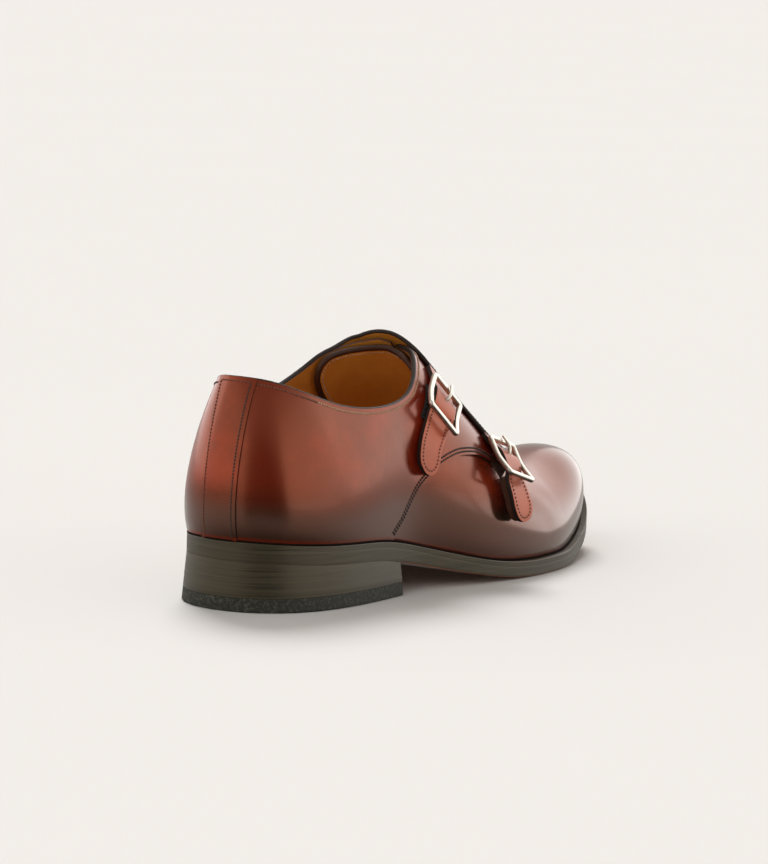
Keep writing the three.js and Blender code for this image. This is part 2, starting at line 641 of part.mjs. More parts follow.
const elastic = (rows, stand) => ribbon(routeOf(rows, 8), ELASTIC_WIDTH, ELASTIC, elasticLift(stand), 0);

// The object
const LEATHER = { color: 0x8e4a3c, roughness: 0.34, metalness: 0 };
const DARK_LEATHER = { color: 0x5a3830, roughness: 0.32, metalness: 0 };
const LINING = { color: 0xa8692b, roughness: 0.6, metalness: 0 };
const SOLE = { color: 0x4a4238, roughness: 0.5, metalness: 0 };
const RUBBER = { color: 0x39342d, roughness: 0.85, metalness: 0 };
const METAL = { color: 0xd9d0c2, roughness: 0.25, metalness: 1 };
const BLACK = { color: 0x14110f, roughness: 0.8, metalness: 0 };

const shoe = new THREE.Group();
shoe.name = "monk_strap_shoe";
function piece(name, made, finish) {
  const mesh = made.getMesh();
  const geometry = new THREE.BufferGeometry();
  geometry.setAttribute("position", new THREE.BufferAttribute(mesh.vertProperties, 3));
  geometry.setIndex(new THREE.BufferAttribute(mesh.triVerts, 1));
  geometry.computeVertexNormals();
  const part = new THREE.Mesh(geometry, new THREE.MeshStandardMaterial(finish));
  part.name = name;
  shoe.add(part);
}

piece("outsole", outsole, SOLE);
piece("welt", welt, SOLE);
piece("heel_stack", heelStack, SOLE);
piece("top_piece", topPiece, RUBBER);
piece("insole", insole, LINING);
piece("upper", upper, DARK_LEATHER);
piece("tongue", tongue, LINING);
piece("quarter_outer", quarterOuter, LEATHER);
piece("quarter_inner", quarterInner, LEATHER);
piece("back_strip", backStrip, LEATHER);
piece("strap_upper", strapUpper, LEATHER);
piece("strap_lower", strapLower, LEATHER);
piece("elastic_upper", elastic(UPPER_ELASTIC, UPPER_STAND), BLACK);
piece("elastic_lower", elastic(LOWER_ELASTIC, LOWER_STAND * 0.6), BLACK);
piece("buckle_frame_upper", upperBuckle.frame, METAL);
piece("buckle_frame_lower", lowerBuckle.frame, METAL);
piece("buckle_prong_upper", upperBuckle.prong, METAL);
piece("buckle_prong_lower", lowerBuckle.prong, METAL);

// The origin is the middle of the shoe's box, on the floor
const box = new THREE.Box3().setFromObject(shoe);
const middle = box.getCenter(new THREE.Vector3());
shoe.position.set(-middle.x, -middle.y, -box.min.z);

export default shoe;
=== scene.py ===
# %% [markdown]
# # A double monk strap shoe, dressed for the studio
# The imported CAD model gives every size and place. This script lays finer leather, thread, buckles
# and sole over it, and each new piece stands for the CAD node that it hides.
# Everything is worked out in millimetres from the back of the heel, then moved to the CAD's own place.

# %% Load the fixed frame
import math

import bpy
import numpy as np
from mathutils import Matrix, Vector


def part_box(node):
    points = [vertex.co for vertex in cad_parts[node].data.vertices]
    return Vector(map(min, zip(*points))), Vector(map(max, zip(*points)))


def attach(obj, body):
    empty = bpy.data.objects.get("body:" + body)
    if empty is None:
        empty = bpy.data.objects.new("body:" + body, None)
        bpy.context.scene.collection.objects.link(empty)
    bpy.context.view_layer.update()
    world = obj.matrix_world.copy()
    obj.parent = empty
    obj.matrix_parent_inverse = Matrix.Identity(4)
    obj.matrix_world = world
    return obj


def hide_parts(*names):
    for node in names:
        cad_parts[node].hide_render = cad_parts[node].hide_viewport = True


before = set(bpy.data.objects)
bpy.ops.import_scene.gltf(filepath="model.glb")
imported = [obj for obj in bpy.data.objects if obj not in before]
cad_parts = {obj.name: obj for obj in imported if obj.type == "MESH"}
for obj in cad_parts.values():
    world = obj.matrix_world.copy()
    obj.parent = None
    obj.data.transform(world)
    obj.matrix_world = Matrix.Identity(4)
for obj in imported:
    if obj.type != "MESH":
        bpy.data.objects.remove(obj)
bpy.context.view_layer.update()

bpy.ops.object.select_all(action="DESELECT")
bpy.context.scene.view_settings.view_transform = "Standard"
print("nodes in the frame:", len(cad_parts))

# %% [markdown]
# ## The last
# A shoe is pulled over a wooden last, so every piece of the upper here follows one last too.
# Ribs rise from the feather line, where the upper meets the sole, to a crest line over the foot.
# A rib is a cubic curve with a lean at its foot and a flat at its crest. The sizes are the same
# as in the CAD model, which keeps both models on one form.

# %% Sizes and sections of the last
LAST_LENGTH, LAST_WIDTH, INSTEP = 287.0, 92.0, 90.0
HEEL_HEIGHT, TOE_SPRING = 21.4, 21.5
SEAT_EDGE, BALL_EDGE = 8.4, 7.2
SEAT_SHELF, SHELF, WELT = 2.0, 3.6, 2.4
HEEL_LENGTH, HEEL_FLARE, BREAST_RADIUS, TOP_PIECE = 86.0, 1.5, 75.0, 6.0
FULL = 2 * math.pi

# at, outer, inner, arch, spring, crestAt, crestX, crestZ, bulgeOuter, bulgeInner, rise, flat
SECTIONS = np.array([
    [0.0, 0.0, 0.0, 1.0, 0.0, 0.093, 0.0, 1.06, 0.1, 0.1, 0.29, 0.14],
    [0.03, 0.232, 0.232, 0.97, 0.0, 0.106, 0.0, 1.06, 0.105, 0.105, 0.29, 0.14],
    [0.09, 0.338, 0.338, 0.91, 0.0, 0.138, 0.0, 1.08, 0.11, 0.115, 0.3, 0.14],
    [0.18, 0.374, 0.368, 0.845, 0.0, 0.209, 0.0, 1.12, 0.11, 0.135, 0.36, 0.16],
    [0.27, 0.364, 0.334, 0.76, 0.0, 0.287, 0.0, 1.15, 0.1, 0.17, 0.45, 0.19],
    [0.36, 0.359, 0.27, 0.54, 0.0, 0.365, 0.0, 1.125, 0.11, 0.24, 0.48, 0.2],
    [0.46, 0.428, 0.27, 0.265, 0.0, 0.46, 0.0, 0.985, 0.12, 0.26, 0.48, 0.2],
    [0.55, 0.475, 0.335, 0.075, 0.0, 0.55, 0.0, 0.795, 0.12, 0.2, 0.48, 0.21],
    [0.64, 0.483, 0.43, -0.005, 0.0, 0.64, 0.0, 0.598, 0.11, 0.12, 0.5, 0.23],
    [0.73, 0.449, 0.49, 0.0, -0.01, 0.73, 0.0, 0.47, 0.09, 0.09, 0.52, 0.26],
    [0.81, 0.37, 0.468, 0.0, 0.09, 0.81, -0.01, 0.42, 0.08, 0.08, 0.55, 0.27],
    [0.88, 0.28, 0.405, 0.0, 0.28, 0.88, -0.02, 0.396, 0.07, 0.07, 0.55, 0.25],
    [0.94, 0.176, 0.312, 0.0, 0.555, 0.94, -0.04, 0.32, 0.05, 0.05, 0.55, 0.19],
    [0.98, 0.072, 0.205, 0.0, 0.795, 0.98, -0.05, 0.19, 0.03, 0.03, 0.55, 0.11],
    [1.0, -0.055, -0.055, 0.0, 0.92, 1.0, -0.055, 0.0, 0.0, 0.0, 0.55, 0.0],
])


def angle_at(share):
    return np.arccos(1 - 2 * np.clip(share, 0, 1))


ANGLES = angle_at(SECTIONS[:, 0])


# %% A smooth closed curve, and the columns that go round the last
def closed_curve(knots, values, period):
    knots, values = np.asarray(knots, float), np.asarray(values, float)
    count = len(knots)
    span = np.append(knots[1:], knots[0] + period) - knots
    matrix, right = np.zeros((count, count)), np.zeros(count)
    for i in range(count):
        before, after = i - 1, (i + 1) % count
        matrix[i, before] += span[before]
        matrix[i, i] += 2 * (span[before] + span[i])
        matrix[i, after] += span[i]
        right[i] = 6 * ((values[after] - values[i]) / span[i] - (values[i] - values[before]) / span[before])
    bend = np.linalg.solve(matrix, right)

    def curve(x):
        x = np.mod(np.asarray(x, float) - knots[0], period) + knots[0]
        i = np.searchsorted(knots, x, side="right") - 1
        j = (i + 1) % count
        done, width = x - knots[i], span[i]
        left = width - done
        return (
            (bend[i] * left**3 + bend[j] * done**3) / (6 * width)
            + (values[i] / width - bend[i] * width / 6) * left
            + (values[j] / width - bend[j] * width / 6) * done
        )

    return curve


def round_last(outer, inner, sign=1):
    knots = np.concatenate([ANGLES, FULL - ANGLES[-2:0:-1]])
    return closed_curve(knots, np.concatenate([outer, sign * inner[-2:0:-1]]), FULL)


def closing(values):
    knots = np.concatenate([ANGLES, FULL - ANGLES[-2::-1]])
    both = np.concatenate([values, -values[-2::-1]])
    knots = np.concatenate([knots, 2 * FULL - knots[-2:0:-1]])
    curve = closed_curve(knots, np.concatenate([both, both[-2:0:-1]]), 2 * FULL)
    return lambda a: curve(np.where(np.mod(a, FULL) <= math.pi, np.mod(a, FULL), FULL - np.mod(a, FULL)))


side_reach = round_last(SECTIONS[:, 1], SECTIONS[:, 2], -1)
arch, spring, crest_at, crest_x, rise = (round_last(SECTIONS[:, i], SECTIONS[:, i]) for i in (3, 4, 5, 6, 10))
crest_z, bulge_outer, bulge_inner, flat = (closing(SECTIONS[:, i]) for i in (7, 8, 9, 11))


def smooth(x, low, high):
    x = np.clip((np.asarray(x, float) - low) / (high - low), 0, 1)
    return x * x * (3 - 2 * x)


def under(y):
    share = np.asarray(y, float) / LAST_LENGTH
    past = np.maximum(0, share - 1)
    lift = spring(angle_at(share)) + past * (spring(math.pi) - spring(angle_at(0.99))) / 0.01
    return np.maximum(0, HEEL_HEIGHT * arch(angle_at(share)) + TOE_SPRING * lift)


def foot(y):
    return under(y) + SEAT_EDGE + (BALL_EDGE - SEAT_EDGE) * smooth(y, HEEL_LENGTH, HEEL_LENGTH + 70)


def outline(a, grow=0.0):
    """The feather line in plan, grown sideways: x and y."""
    a = np.asarray(a, float)
    step = 1e-4
    slope = LAST_WIDTH * (side_reach(a + step) - side_reach(a - step)) / (2 * step)
    out = np.stack([LAST_LENGTH * np.sin(a) / 2, -slope], -1)
    out = out / np.maximum(np.linalg.norm(out, axis=-1, keepdims=True), 1e-9)
    line = np.stack([LAST_WIDTH * side_reach(a), LAST_LENGTH * (1 - np.cos(a)) / 2], -1)
    return line + out * np.asarray(grow, float)[..., None], out


print("toe spring at the tip, mm:", round(float(under(LAST_LENGTH)), 1))


# %% Points and normals on the last
def on_last(a, t):
    a, t = np.broadcast_arrays(np.mod(np.asarray(a, float), FULL), np.asarray(t, float))
    line, out = outline(a)
    low = foot(LAST_LENGTH * (1 - np.cos(a)) / 2)
    tall = INSTEP * crest_z(a)
    bulge = LAST_WIDTH * np.where(a <= math.pi, bulge_outer(a), bulge_inner(a))
    start = np.concatenate([line, low[..., None]], -1)
    crest = np.stack([LAST_WIDTH * crest_x(a), LAST_LENGTH * crest_at(a), low + tall], -1)
    lean = start + np.concatenate([out * bulge[..., None], (rise(a) * tall)[..., None]], -1)
    inward = (start - crest) * [1, 1, 0]
    inward = inward / np.maximum(np.linalg.norm(inward, axis=-1, keepdims=True), 1e-9)
    over = crest + inward * (LAST_WIDTH * flat(a))[..., None]
    t = t[..., None]
    u = 1 - t
    return u**3 * start + 3 * u * u * t * lean + 3 * u * t * t * over + t**3 * crest


def skin(s, w):
    """The last unrolled: s runs from heel to toe, w from 1 (outer feather line) over 0 (crest) to -1."""
    s, w = np.broadcast_arrays(np.asarray(s, float), np.asarray(w, float))
    return on_last(np.where(w >= 0, s, -s), 1 - np.abs(w))


def skin_normal(s, w):
    s, w = np.broadcast_arrays(np.asarray(s, float), np.asarray(w, float))
    step = 2e-3
    along = skin(s + step, w) - skin(s - step, w)
    up = skin(s, w - step) - skin(s, w + step)
    normal = np.cross(along, up)
    size = np.linalg.norm(normal, axis=-1, keepdims=True)
    tip = np.concatenate([outline(s)[1], np.zeros(s.shape + (1,))], -1)
    return np.where(size > 1e-9, normal / np.maximum(size, 1e-12), tip)


def lifted(s, w, lift):
    return skin(s, w) + skin_normal(s, w) * np.asarray(lift, float)[..., None]


# %% [markdown]
# ## Outlines drawn from the side
# A pattern cutter draws each piece's edge on the side of the last. Each table below is such an edge,
# as shares of the last's length and instep. A smooth line goes through the points, and `find` drops
# it on the last.

# %% Edges of the pieces
BACK_TOP = [(-0.06, 0.78), (0.007, 0.772), (0.033, 0.77), (0.058, 0.753), (0.086, 0.724),
            (0.118, 0.693), (0.156, 0.66), (0.205, 0.642)]
OUTER_TOP = BACK_TOP + [(0.262, 0.652), (0.307, 0.69), (0.341, 0.746), (0.369, 0.822),
                        (0.389, 0.888), (0.415, 0.954), (0.439, 0.99), (0.458, 1.02)]
INNER_TOP = BACK_TOP + [(0.255, 0.664), (0.291, 0.711), (0.333, 0.805), (0.365, 0.901),
                        (0.394, 0.966), (0.417, 1.012), (0.442, 1.06)]
OUTER_SEAM = [(0.272, -0.1), (0.281, 0.016), (0.306, 0.114), (0.322, 0.194), (0.342, 0.276),
              (0.366, 0.346), (0.39, 0.408), (0.415, 0.454), (0.441, 0.488), (0.469, 0.506),
              (0.5, 0.51), (0.528, 0.492), (0.549, 0.475), (0.575, 0.465), (0.605, 0.49),
              (0.628, 0.54), (0.64, 0.7)]
INNER_SEAM = [(0.3, -0.1), (0.31, 0.02), (0.33, 0.1), (0.36, 0.2), (0.4, 0.28), (0.46, 0.345),
              (0.52, 0.37), (0.58, 0.4), (0.625, 0.45), (0.65, 0.52), (0.662, 0.7)]
FLAP_EDGE = [(0.442, 1.2), (0.4425, 1.04), (0.444, 0.98), (0.449, 0.925), (0.457, 0.87),
             (0.472, 0.81), (0.5, 0.765), (0.529, 0.715), (0.551, 0.655), (0.565, 0.585),
             (0.592, 0.53), (0.615, 0.505), (0.638, 0.52), (0.655, 0.565), (0.662, 0.75)]
TONGUE_EDGE = [(0.43, 0.4), (0.42, 0.58), (0.408, 0.66), (0.38, 0.72), (0.36, 0.79),
               (0.358, 0.85), (0.367, 0.905), (0.388, 0.95), (0.414, 0.99), (0.443, 1.03)]
TONGUE_OUTER_EDGE = [(0.46, 0.4), (0.45, 0.6), (0.44, 0.8), (0.437, 0.9), (0.44, 0.96), (0.443, 1.03)]
UPPER_STRAP = [(0.4565, 0.862), (0.432, 0.783), (0.4077, 0.704), (0.3835, 0.604), (0.3572, 0.472),
               (0.3515, 0.387), (0.349, 0.352)]
LOWER_STRAP = [(0.566, 0.58), (0.559, 0.525), (0.555, 0.469), (0.557, 0.4), (0.561, 0.332),
               (0.5625, 0.269), (0.567, 0.198)]
UPPER_ELASTIC = [(0.405, 0.79), (0.387, 0.70), (0.366, 0.615)]
LOWER_ELASTIC = [(0.566, 0.49), (0.548, 0.465), (0.533, 0.44)]


def through_points(points, count):
    """A smooth line through points, in even steps of its length."""
    p = np.asarray(points, float)
    p = np.concatenate([[2 * p[0] - p[1]], p, [2 * p[-1] - p[-2]]])
    fine = []
    for a, b, c, d in zip(p, p[1:], p[2:], p[3:]):
        gaps = [max(np.linalg.norm(v) ** 0.5, 1e-6) for v in (b - a, c - b, d - c)]
        start = ((b - a) / gaps[0] - (c - a) / (gaps[0] + gaps[1]) + (c - b) / gaps[1]) * gaps[1]
        end = ((c - b) / gaps[1] - (d - b) / (gaps[1] + gaps[2]) + (d - c) / gaps[2]) * gaps[1]
        for t in np.linspace(0, 1, 40, endpoint=False):
            fine.append(b * (2 * t**3 - 3 * t**2 + 1) + start * (t**3 - 2 * t**2 + t)
                        + c * (3 * t**2 - 2 * t**3) + end * (t**3 - t**2))
    return evenly(np.array(fine + [p[-2]]), count)


def evenly(points, count):
    far = np.concatenate([[0], np.cumsum(np.linalg.norm(np.diff(points, axis=0), axis=1))])
    return np.stack([np.interp(np.linspace(0, far[-1], count), far, axis) for axis in points.T], -1)


def side_line(rows, count):
    rows = np.array(rows)
    y = LAST_LENGTH * rows[:, 0]
    return through_points(np.stack([y, foot(y) + INSTEP * rows[:, 1]], -1), count)


guess_grid = np.meshgrid(np.linspace(0.02, math.pi - 0.02, 120), np.linspace(0, 1, 50))
GUESS_A, GUESS_T = (g.ravel() for g in guess_grid)


def find(line, side=1):
    """Where points of a side view, as (y, z), lie on the last, as (s, w) of `skin`."""
    a, t = [], []
    guesses = on_last(side * GUESS_A, GUESS_T)[:, 1:]
    for goal in line:
        best = np.argmin(np.sum((guesses - goal) ** 2, axis=1))
        a.append(GUESS_A[best])
        t.append(GUESS_T[best])
    a, t = np.array(a), np.array(t)
    for _ in range(14):
        step = 1e-4
        here = on_last(side * a, t)[:, 1:]
        by_a = (on_last(side * (a + step), t)[:, 1:] - here) / step
        by_t = (on_last(side * a, t - step)[:, 1:] - here) / -step
        miss = np.asarray(line) - here
        det = by_a[:, 0] * by_t[:, 1] - by_a[:, 1] * by_t[:, 0]
        det = np.where(np.abs(det) < 1e-6, 1e-6, det)
        a = np.clip(a + (miss[:, 0] * by_t[:, 1] - miss[:, 1] * by_t[:, 0]) / det, 0.005, math.pi)
        t = np.clip(t + (by_a[:, 0] * miss[:, 1] - by_a[:, 1] * miss[:, 0]) / det, 0, 1)
    return np.stack([a, side * (1 - t)], -1)


def edge_on_last(rows, side, count=160):
    """An edge's (s, w), cut where it meets the crest."""
    found = find(side_line(rows, count), side)
    return found[np.abs(found[:, 1]) > 1e-4]


outer_top = edge_on_last(OUTER_TOP, 1)
inner_top = edge_on_last(INNER_TOP, -1)
outer_top, inner_top = (top[np.argmax(top[:, 0] > 0.0055) - 1:] for top in (outer_top, inner_top))
outer_seam = edge_on_last(OUTER_SEAM, 1)
inner_seam = edge_on_last(INNER_SEAM, -1)
flap_edge = edge_on_last(FLAP_EDGE, 1)
print("outer topline meets the crest at", round(float(outer_top[-1, 0]), 3))

# %% [markdown]
# ## From the last to the frame
# The CAD centred the shoe on the floor. Two of its boxes give that move back: the back strip is
# centred on the last, and the sole's edge starts a seat shelf behind it.

# %% The move, and how a piece is started
strip_low, strip_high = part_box("back_strip")
sole_low, sole_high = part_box("outsole")
MOVE = np.array([
    (strip_low[0] + strip_high[0]) * 500,
    sole_low[1] * 1000 + SEAT_SHELF,
    0.0,
])
print("move from the heel's back to the frame, mm:", MOVE.round(2))


def to_frame(points):
    return (np.asarray(points, float) + MOVE) / 1000


def only(piece):
    bpy.ops.object.select_all(action="DESELECT")
    piece.select_set(True)
    bpy.context.view_layer.objects.active = piece


def edit(piece):
    only(piece)
    bpy.ops.object.mode_set(mode="EDIT")
    bpy.ops.mesh.select_all(action="SELECT")


def done():
    bpy.ops.object.mode_set(mode="OBJECT")


def apply_modifier(piece, kind, **settings):
    only(piece)
    modifier = piece.modifiers.new(kind.lower(), kind)
    for key, value in settings.items():
        setattr(modifier, key, value)
    bpy.ops.object.modifier_apply(modifier=modifier.name)


def grid_piece(name, columns, rows, place, materials, closed=False):
    """A flat grid whose points are then laid where `place(u, v)` says, in millimetres."""
    bpy.ops.object.select_all(action="DESELECT")
    bpy.ops.mesh.primitive_grid_add(x_subdivisions=columns, y_subdivisions=rows, size=1)
    piece = bpy.context.active_object
    piece.name = piece.data.name = name
    for material in materials:
        piece.data.materials.append(material)
    flat_points = np.empty(len(piece.data.vertices) * 3)
    piece.data.vertices.foreach_get("co", flat_points)
    flat_points = flat_points.reshape(-1, 3) + 0.5
    points = place(flat_points[:, 0].clip(0, 1), flat_points[:, 1].clip(0, 1))
    piece.data.vertices.foreach_set("co", to_frame(points).ravel())
    piece.data.update()
    edit(piece)
    bpy.ops.mesh.remove_doubles(threshold=2e-6)
    bpy.ops.mesh.dissolve_degenerate(threshold=1e-6)
    if closed:
        bpy.ops.mesh.select_all(action="SELECT")
        bpy.ops.mesh.fill_holes(sides=0)
        bpy.ops.mesh.select_all(action="SELECT")
        bpy.ops.mesh.normals_make_consistent(inside=False)
    done()
    return piece


def smooth_faces(piece, degrees=40):
    only(piece)
    bpy.ops.object.shade_smooth_by_angle(angle=math.radians(degrees))


def finish_piece(piece, replaces=()):
    smooth_faces(piece)
    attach(piece, "root")
    for node in replaces:
        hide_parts(node)
    points = points_of(piece) + MOVE
    away = ""
    if replaces:
        boxes = np.array([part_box(node) for node in replaces]) * 1000
        away = np.round([points.min(0) - boxes[:, 0].min(0), points.max(0) - boxes[:, 1].max(0)], 1).tolist()
    print(piece.name, len(piece.data.polygons), "faces", away)


def points_of(piece):
    points = np.empty(len(piece.data.vertices) * 3)
    piece.data.vertices.foreach_get("co", points)
    return points.reshape(-1, 3) * 1000 - MOVE


# %% [markdown]
# ## Shader helpers
# Every finish is built from a few nodes. `add` puts a node in a tree and sets its sockets by name,
# so that each recipe reads as a short list.

# %% Node helpers
def add(tree, kind, props=None, **sockets):
    node = tree.nodes.new("ShaderNode" + kind)
    for key, value in (props or {}).items():
        setattr(node, key, value)
    for key, value in sockets.items():
        name = key.replace("_", " ")
        socket = node.inputs[int(name[1:])] if name[0] == "i" and name[1:].isdigit() else node.inputs[name]
        if isinstance(value, bpy.types.NodeSocket):
            tree.links.new(value, socket)
        else:
            socket.default_value = value
    return node


def maths(tree, operation, a, b=None, c=None, clamp=False):
    node = tree.nodes.new("ShaderNodeMath")
    node.operation = operation
    node.use_clamp = clamp
    for socket, value in zip(node.inputs, (a, b, c)):
        if isinstance(value, bpy.types.NodeSocket):
            tree.links.new(value, socket)
        elif value is not None:
            socket.default_value = value
    return node.outputs[0]


def mixed(tree, factor, a, b):
    node = tree.nodes.new("ShaderNodeMix")
    node.data_type = "RGBA"
    for socket, value in ((node.inputs[0], factor), (node.inputs[6], a), (node.inputs[7], b)):
        if isinstance(value, bpy.types.NodeSocket):
            tree.links.new(value, socket)
        else:
            socket.default_value = value if socket is node.inputs[0] else (*value, 1)
    return node.outputs[2]


def spread(tree, value, from_low, from_high, to_low=0.0, to_high=1.0):
    node = add(tree, "MapRange", {"interpolation_type": "SMOOTHSTEP"})
    tree.links.new(value, node.inputs[0])
    for i, number in enumerate((from_low, from_high, to_low, to_high)):
        node.inputs[i + 1].default_value = number
    return node.outputs[0]


def new_material(name, **constants):
    material = bpy.data.materials.new(name)
    material.use_nodes = True
    tree = material.node_tree
    tree.nodes.clear()
    shader = add(tree, "BsdfPrincipled", None, **constants)
    output = tree.nodes.new("ShaderNodeOutputMaterial")
    tree.links.new(shader.outputs[0], output.inputs[0])
    return material, tree, shader


def new_group(name, inputs, outputs):
    tree = bpy.data.node_groups.new(name, "ShaderNodeTree")
    for label, kind, value in inputs:
        socket = tree.interface.new_socket(label, in_out="INPUT", socket_type="NodeSocket" + kind)
        socket.default_value = value
    for label, kind in outputs:
        tree.interface.new_socket(label, in_out="OUTPUT", socket_type="NodeSocket" + kind)
    return tree, tree.nodes.new("NodeGroupInput").outputs, tree.nodes.new("NodeGroupOutput").inputs


def use_group(tree, group, **sockets):
    node = tree.nodes.new("ShaderNodeGroup")
    node.node_tree = group
    for key, value in sockets.items():
        socket = node.inputs[key.replace("_", " ")]
        if isinstance(value, bpy.types.NodeSocket):
            tree.links.new(value, socket)
        else:
            socket.default_value = value
    return node.outputs


# %% [markdown]
# ## Polished calf
# The real upper is smooth calf, dyed red, and darker towards the sole, the heel's foot and the toe.
# The darker places could be painted on a picture, but here each point of the mesh carries a number,
# worked out from where it lies on the shoe. Cloudy noise breaks the edge of the darker part. A clear
# coat gives the polish.

# %% Leather groups and the calf finish, darker towards the sole
hide, hide_in, hide_out = new_group(
    "calf_surface",
    [("Burnish", "Float", 0.0), ("Clouds", "Float", 18.0), ("Breakup", "Float", 0.3)],
    [("Dark", "Float"), ("Clouding", "Float"), ("Height", "Float")],
)
place = add(hide, "TexCoord").outputs["Object"]
clouds = add(hide, "TexNoise", Vector=place, Scale=hide_in["Clouds"], Detail=5.0, Roughness=0.55).outputs[0]
fine = add(hide, "TexNoise", Vector=place, Scale=900.0, Detail=3.0, Roughness=0.5).outputs[0]
pores = add(hide, "TexVoronoi", Vector=place, Scale=1900.0).outputs[0]
shift = maths(hide, "MULTIPLY", maths(hide, "SUBTRACT", clouds, 0.5), hide_in["Breakup"])
hide.links.new(maths(hide, "ADD", hide_in["Burnish"], shift, clamp=True), hide_out["Dark"])
hide.links.new(clouds, hide_out["Clouding"])
hide.links.new(maths(hide, "MULTIPLY_ADD", pores, 0.35, fine), hide_out["Height"])


def calf_finish(name, bright, mid, dark, rough=(0.17, 0.27), coat=0.05):
    material, tree, shader = new_material(name, Coat_Roughness=0.1, Coat_IOR=1.5, IOR=1.62,
                                          Specular_IOR_Level=1.0, Specular_Tint=(1.0, 0.35, 0.19, 1.0))
    darkening = add(tree, "Attribute", {"attribute_name": "darkening"}).outputs["Fac"]
    surface = use_group(tree, hide, Burnish=darkening)
    body = mixed(tree, spread(tree, surface["Dark"], 0.0, 0.5), bright, mid)
    body = mixed(tree, spread(tree, surface["Clouding"], 0.42, 0.58, 0.0, 0.75), body, mid)
    colour = mixed(tree, spread(tree, surface["Dark"], 0.4, 1.0), body, dark)
    tree.links.new(colour, shader.inputs["Base Color"])
    tree.links.new(spread(tree, surface["Dark"], 0.3, 1.0, coat, 0.55), shader.inputs["Coat Weight"])
    tree.links.new(spread(tree, surface["Clouding"], 0.3, 0.7, *rough), shader.inputs["Roughness"])
    bump = add(tree, "Bump", Height=surface["Height"], Strength=0.05, Distance=0.0004)
    tree.links.new(bump.outputs[0], shader.inputs["Normal"])
    return material


calf = calf_finish("polished_calf", (0.21, 0.016, 0.004), (0.066, 0.007, 0.0025), (0.012, 0.0085, 0.0055))
calf_vamp = calf_finish("polished_calf_vamp", (0.23, 0.022, 0.005), (0.085, 0.009, 0.003),
                      (0.012, 0.0085, 0.0055))
calf_strap = calf_finish("polished_calf_straps", (0.36, 0.068, 0.03), (0.24, 0.04, 0.016),
                       (0.03, 0.012, 0.008), (0.32, 0.42))

# %% [markdown]
# ## The other finishes
# Lining is undyed caramel calf with a dry touch. Cut edges are closed with dark paint. The sole's
# edge is stained, waxed and ironed, which leaves faint lines along it. The heel's last layer is
# rough rubber, the buckles are polished nickel, the gusset under the upper strap is black elastic and the lower
# one brown leather.

# %% Lining, edge paint and thread
lining, tree, shader = new_material("caramel_lining", Roughness=0.55, Specular_IOR_Level=0.25)
surface = use_group(tree, hide, Burnish=0.0, Clouds=60.0)
colour = mixed(tree, surface["Clouding"], (0.48, 0.155, 0.014), (0.76, 0.32, 0.05))
tree.links.new(colour, shader.inputs["Base Color"])
bump = add(tree, "Bump", Height=surface["Height"], Strength=0.12, Distance=0.0004)
tree.links.new(bump.outputs[0], shader.inputs["Normal"])

edge_paint, tree, shader = new_material("edge_paint", Specular_IOR_Level=0.3)
surface = use_group(tree, hide, Burnish=0.0, Clouds=300.0)
colour = mixed(tree, surface["Clouding"], (0.008, 0.005, 0.004), (0.030, 0.017, 0.012))
tree.links.new(colour, shader.inputs["Base Color"])
tree.links.new(spread(tree, surface["Clouding"], 0.3, 0.7, 0.3, 0.5), shader.inputs["Roughness"])


def plain_edge(name, low, high, **constants):
    """A dark, dry finish that is a little cloudy: for leather edges, and for the painted shade in the gap above
    the welt.
    """
    material, tree, shader = new_material(name, **constants)
    surface = use_group(tree, hide, Burnish=0.0, Clouds=200.0)
    tree.links.new(mixed(tree, surface["Clouding"], low, high), shader.inputs["Base Color"])
    return material


# painted shade: near-black and almost without gloss, laid in the gap above the welt
painted_gap_shade = plain_edge("painted_gap_shade", (0.003, 0.002, 0.0015), (0.012, 0.005, 0.003), Roughness=0.85,
                         Specular_IOR_Level=0.06)
strap_side = plain_edge("brown_strap_edge", (0.018, 0.007, 0.004), (0.075, 0.026, 0.012), Roughness=0.5,
                        Specular_IOR_Level=0.3)


def thread_finish(name, low, high):
    material, tree, shader = new_material(name, Roughness=0.6)
    where = add(tree, "TexCoord").outputs["Object"]
    strands = add(tree, "TexNoise", Vector=where, Scale=1400.0, Detail=1.0).outputs[0]
    tree.links.new(mixed(tree, strands, low, high), shader.inputs["Base Color"])
    bump = add(tree, "Bump", Height=strands, Strength=0.4, Distance=0.0002)
    tree.links.new(bump.outputs[0], shader.inputs["Normal"])
    return material


dark_thread = thread_finish("dark_thread", (0.018, 0.009, 0.007), (0.05, 0.02, 0.014))
rust_thread = thread_finish("rust_thread", (0.05, 0.014, 0.008), (0.20, 0.055, 0.022))
tan_thread = thread_finish("tan_thread", (0.22, 0.10, 0.05), (0.72, 0.46, 0.28))

# %% Sole edge, heel rubber, metal and elastic
sole_edge, tree, shader = new_material("waxed_sole_edge", Specular_IOR_Level=0.6,
                                        Specular_Tint=(1.0, 0.88, 0.66, 1.0))
where = add(tree, "TexCoord").outputs["Object"]
stretch = add(tree, "Mapping", Vector=where, Scale=(14.0, 14.0, 1500.0)).outputs[0]
lines = add(tree, "TexNoise", Vector=stretch, Scale=1.0, Detail=4.0, Roughness=0.6).outputs[0]
colour = mixed(tree, spread(tree, lines, 0.35, 0.7), (0.015, 0.012, 0.007), (0.045, 0.036, 0.021))
tree.links.new(colour, shader.inputs["Base Color"])
tree.links.new(spread(tree, lines, 0.3, 0.7, 0.36, 0.52), shader.inputs["Roughness"])
bump = add(tree, "Bump", Height=lines, Strength=0.15, Distance=0.0003)
tree.links.new(bump.outputs[0], shader.inputs["Normal"])

sole_under, tree, shader = new_material("sole_underside", Roughness=0.5)
where = add(tree, "TexCoord").outputs["Object"]
grain = add(tree, "TexNoise", Vector=where, Scale=120.0, Detail=5.0).outputs[0]
tree.links.new(mixed(tree, grain, (0.20, 0.075, 0.035), (0.30, 0.12, 0.06)), shader.inputs["Base Color"])

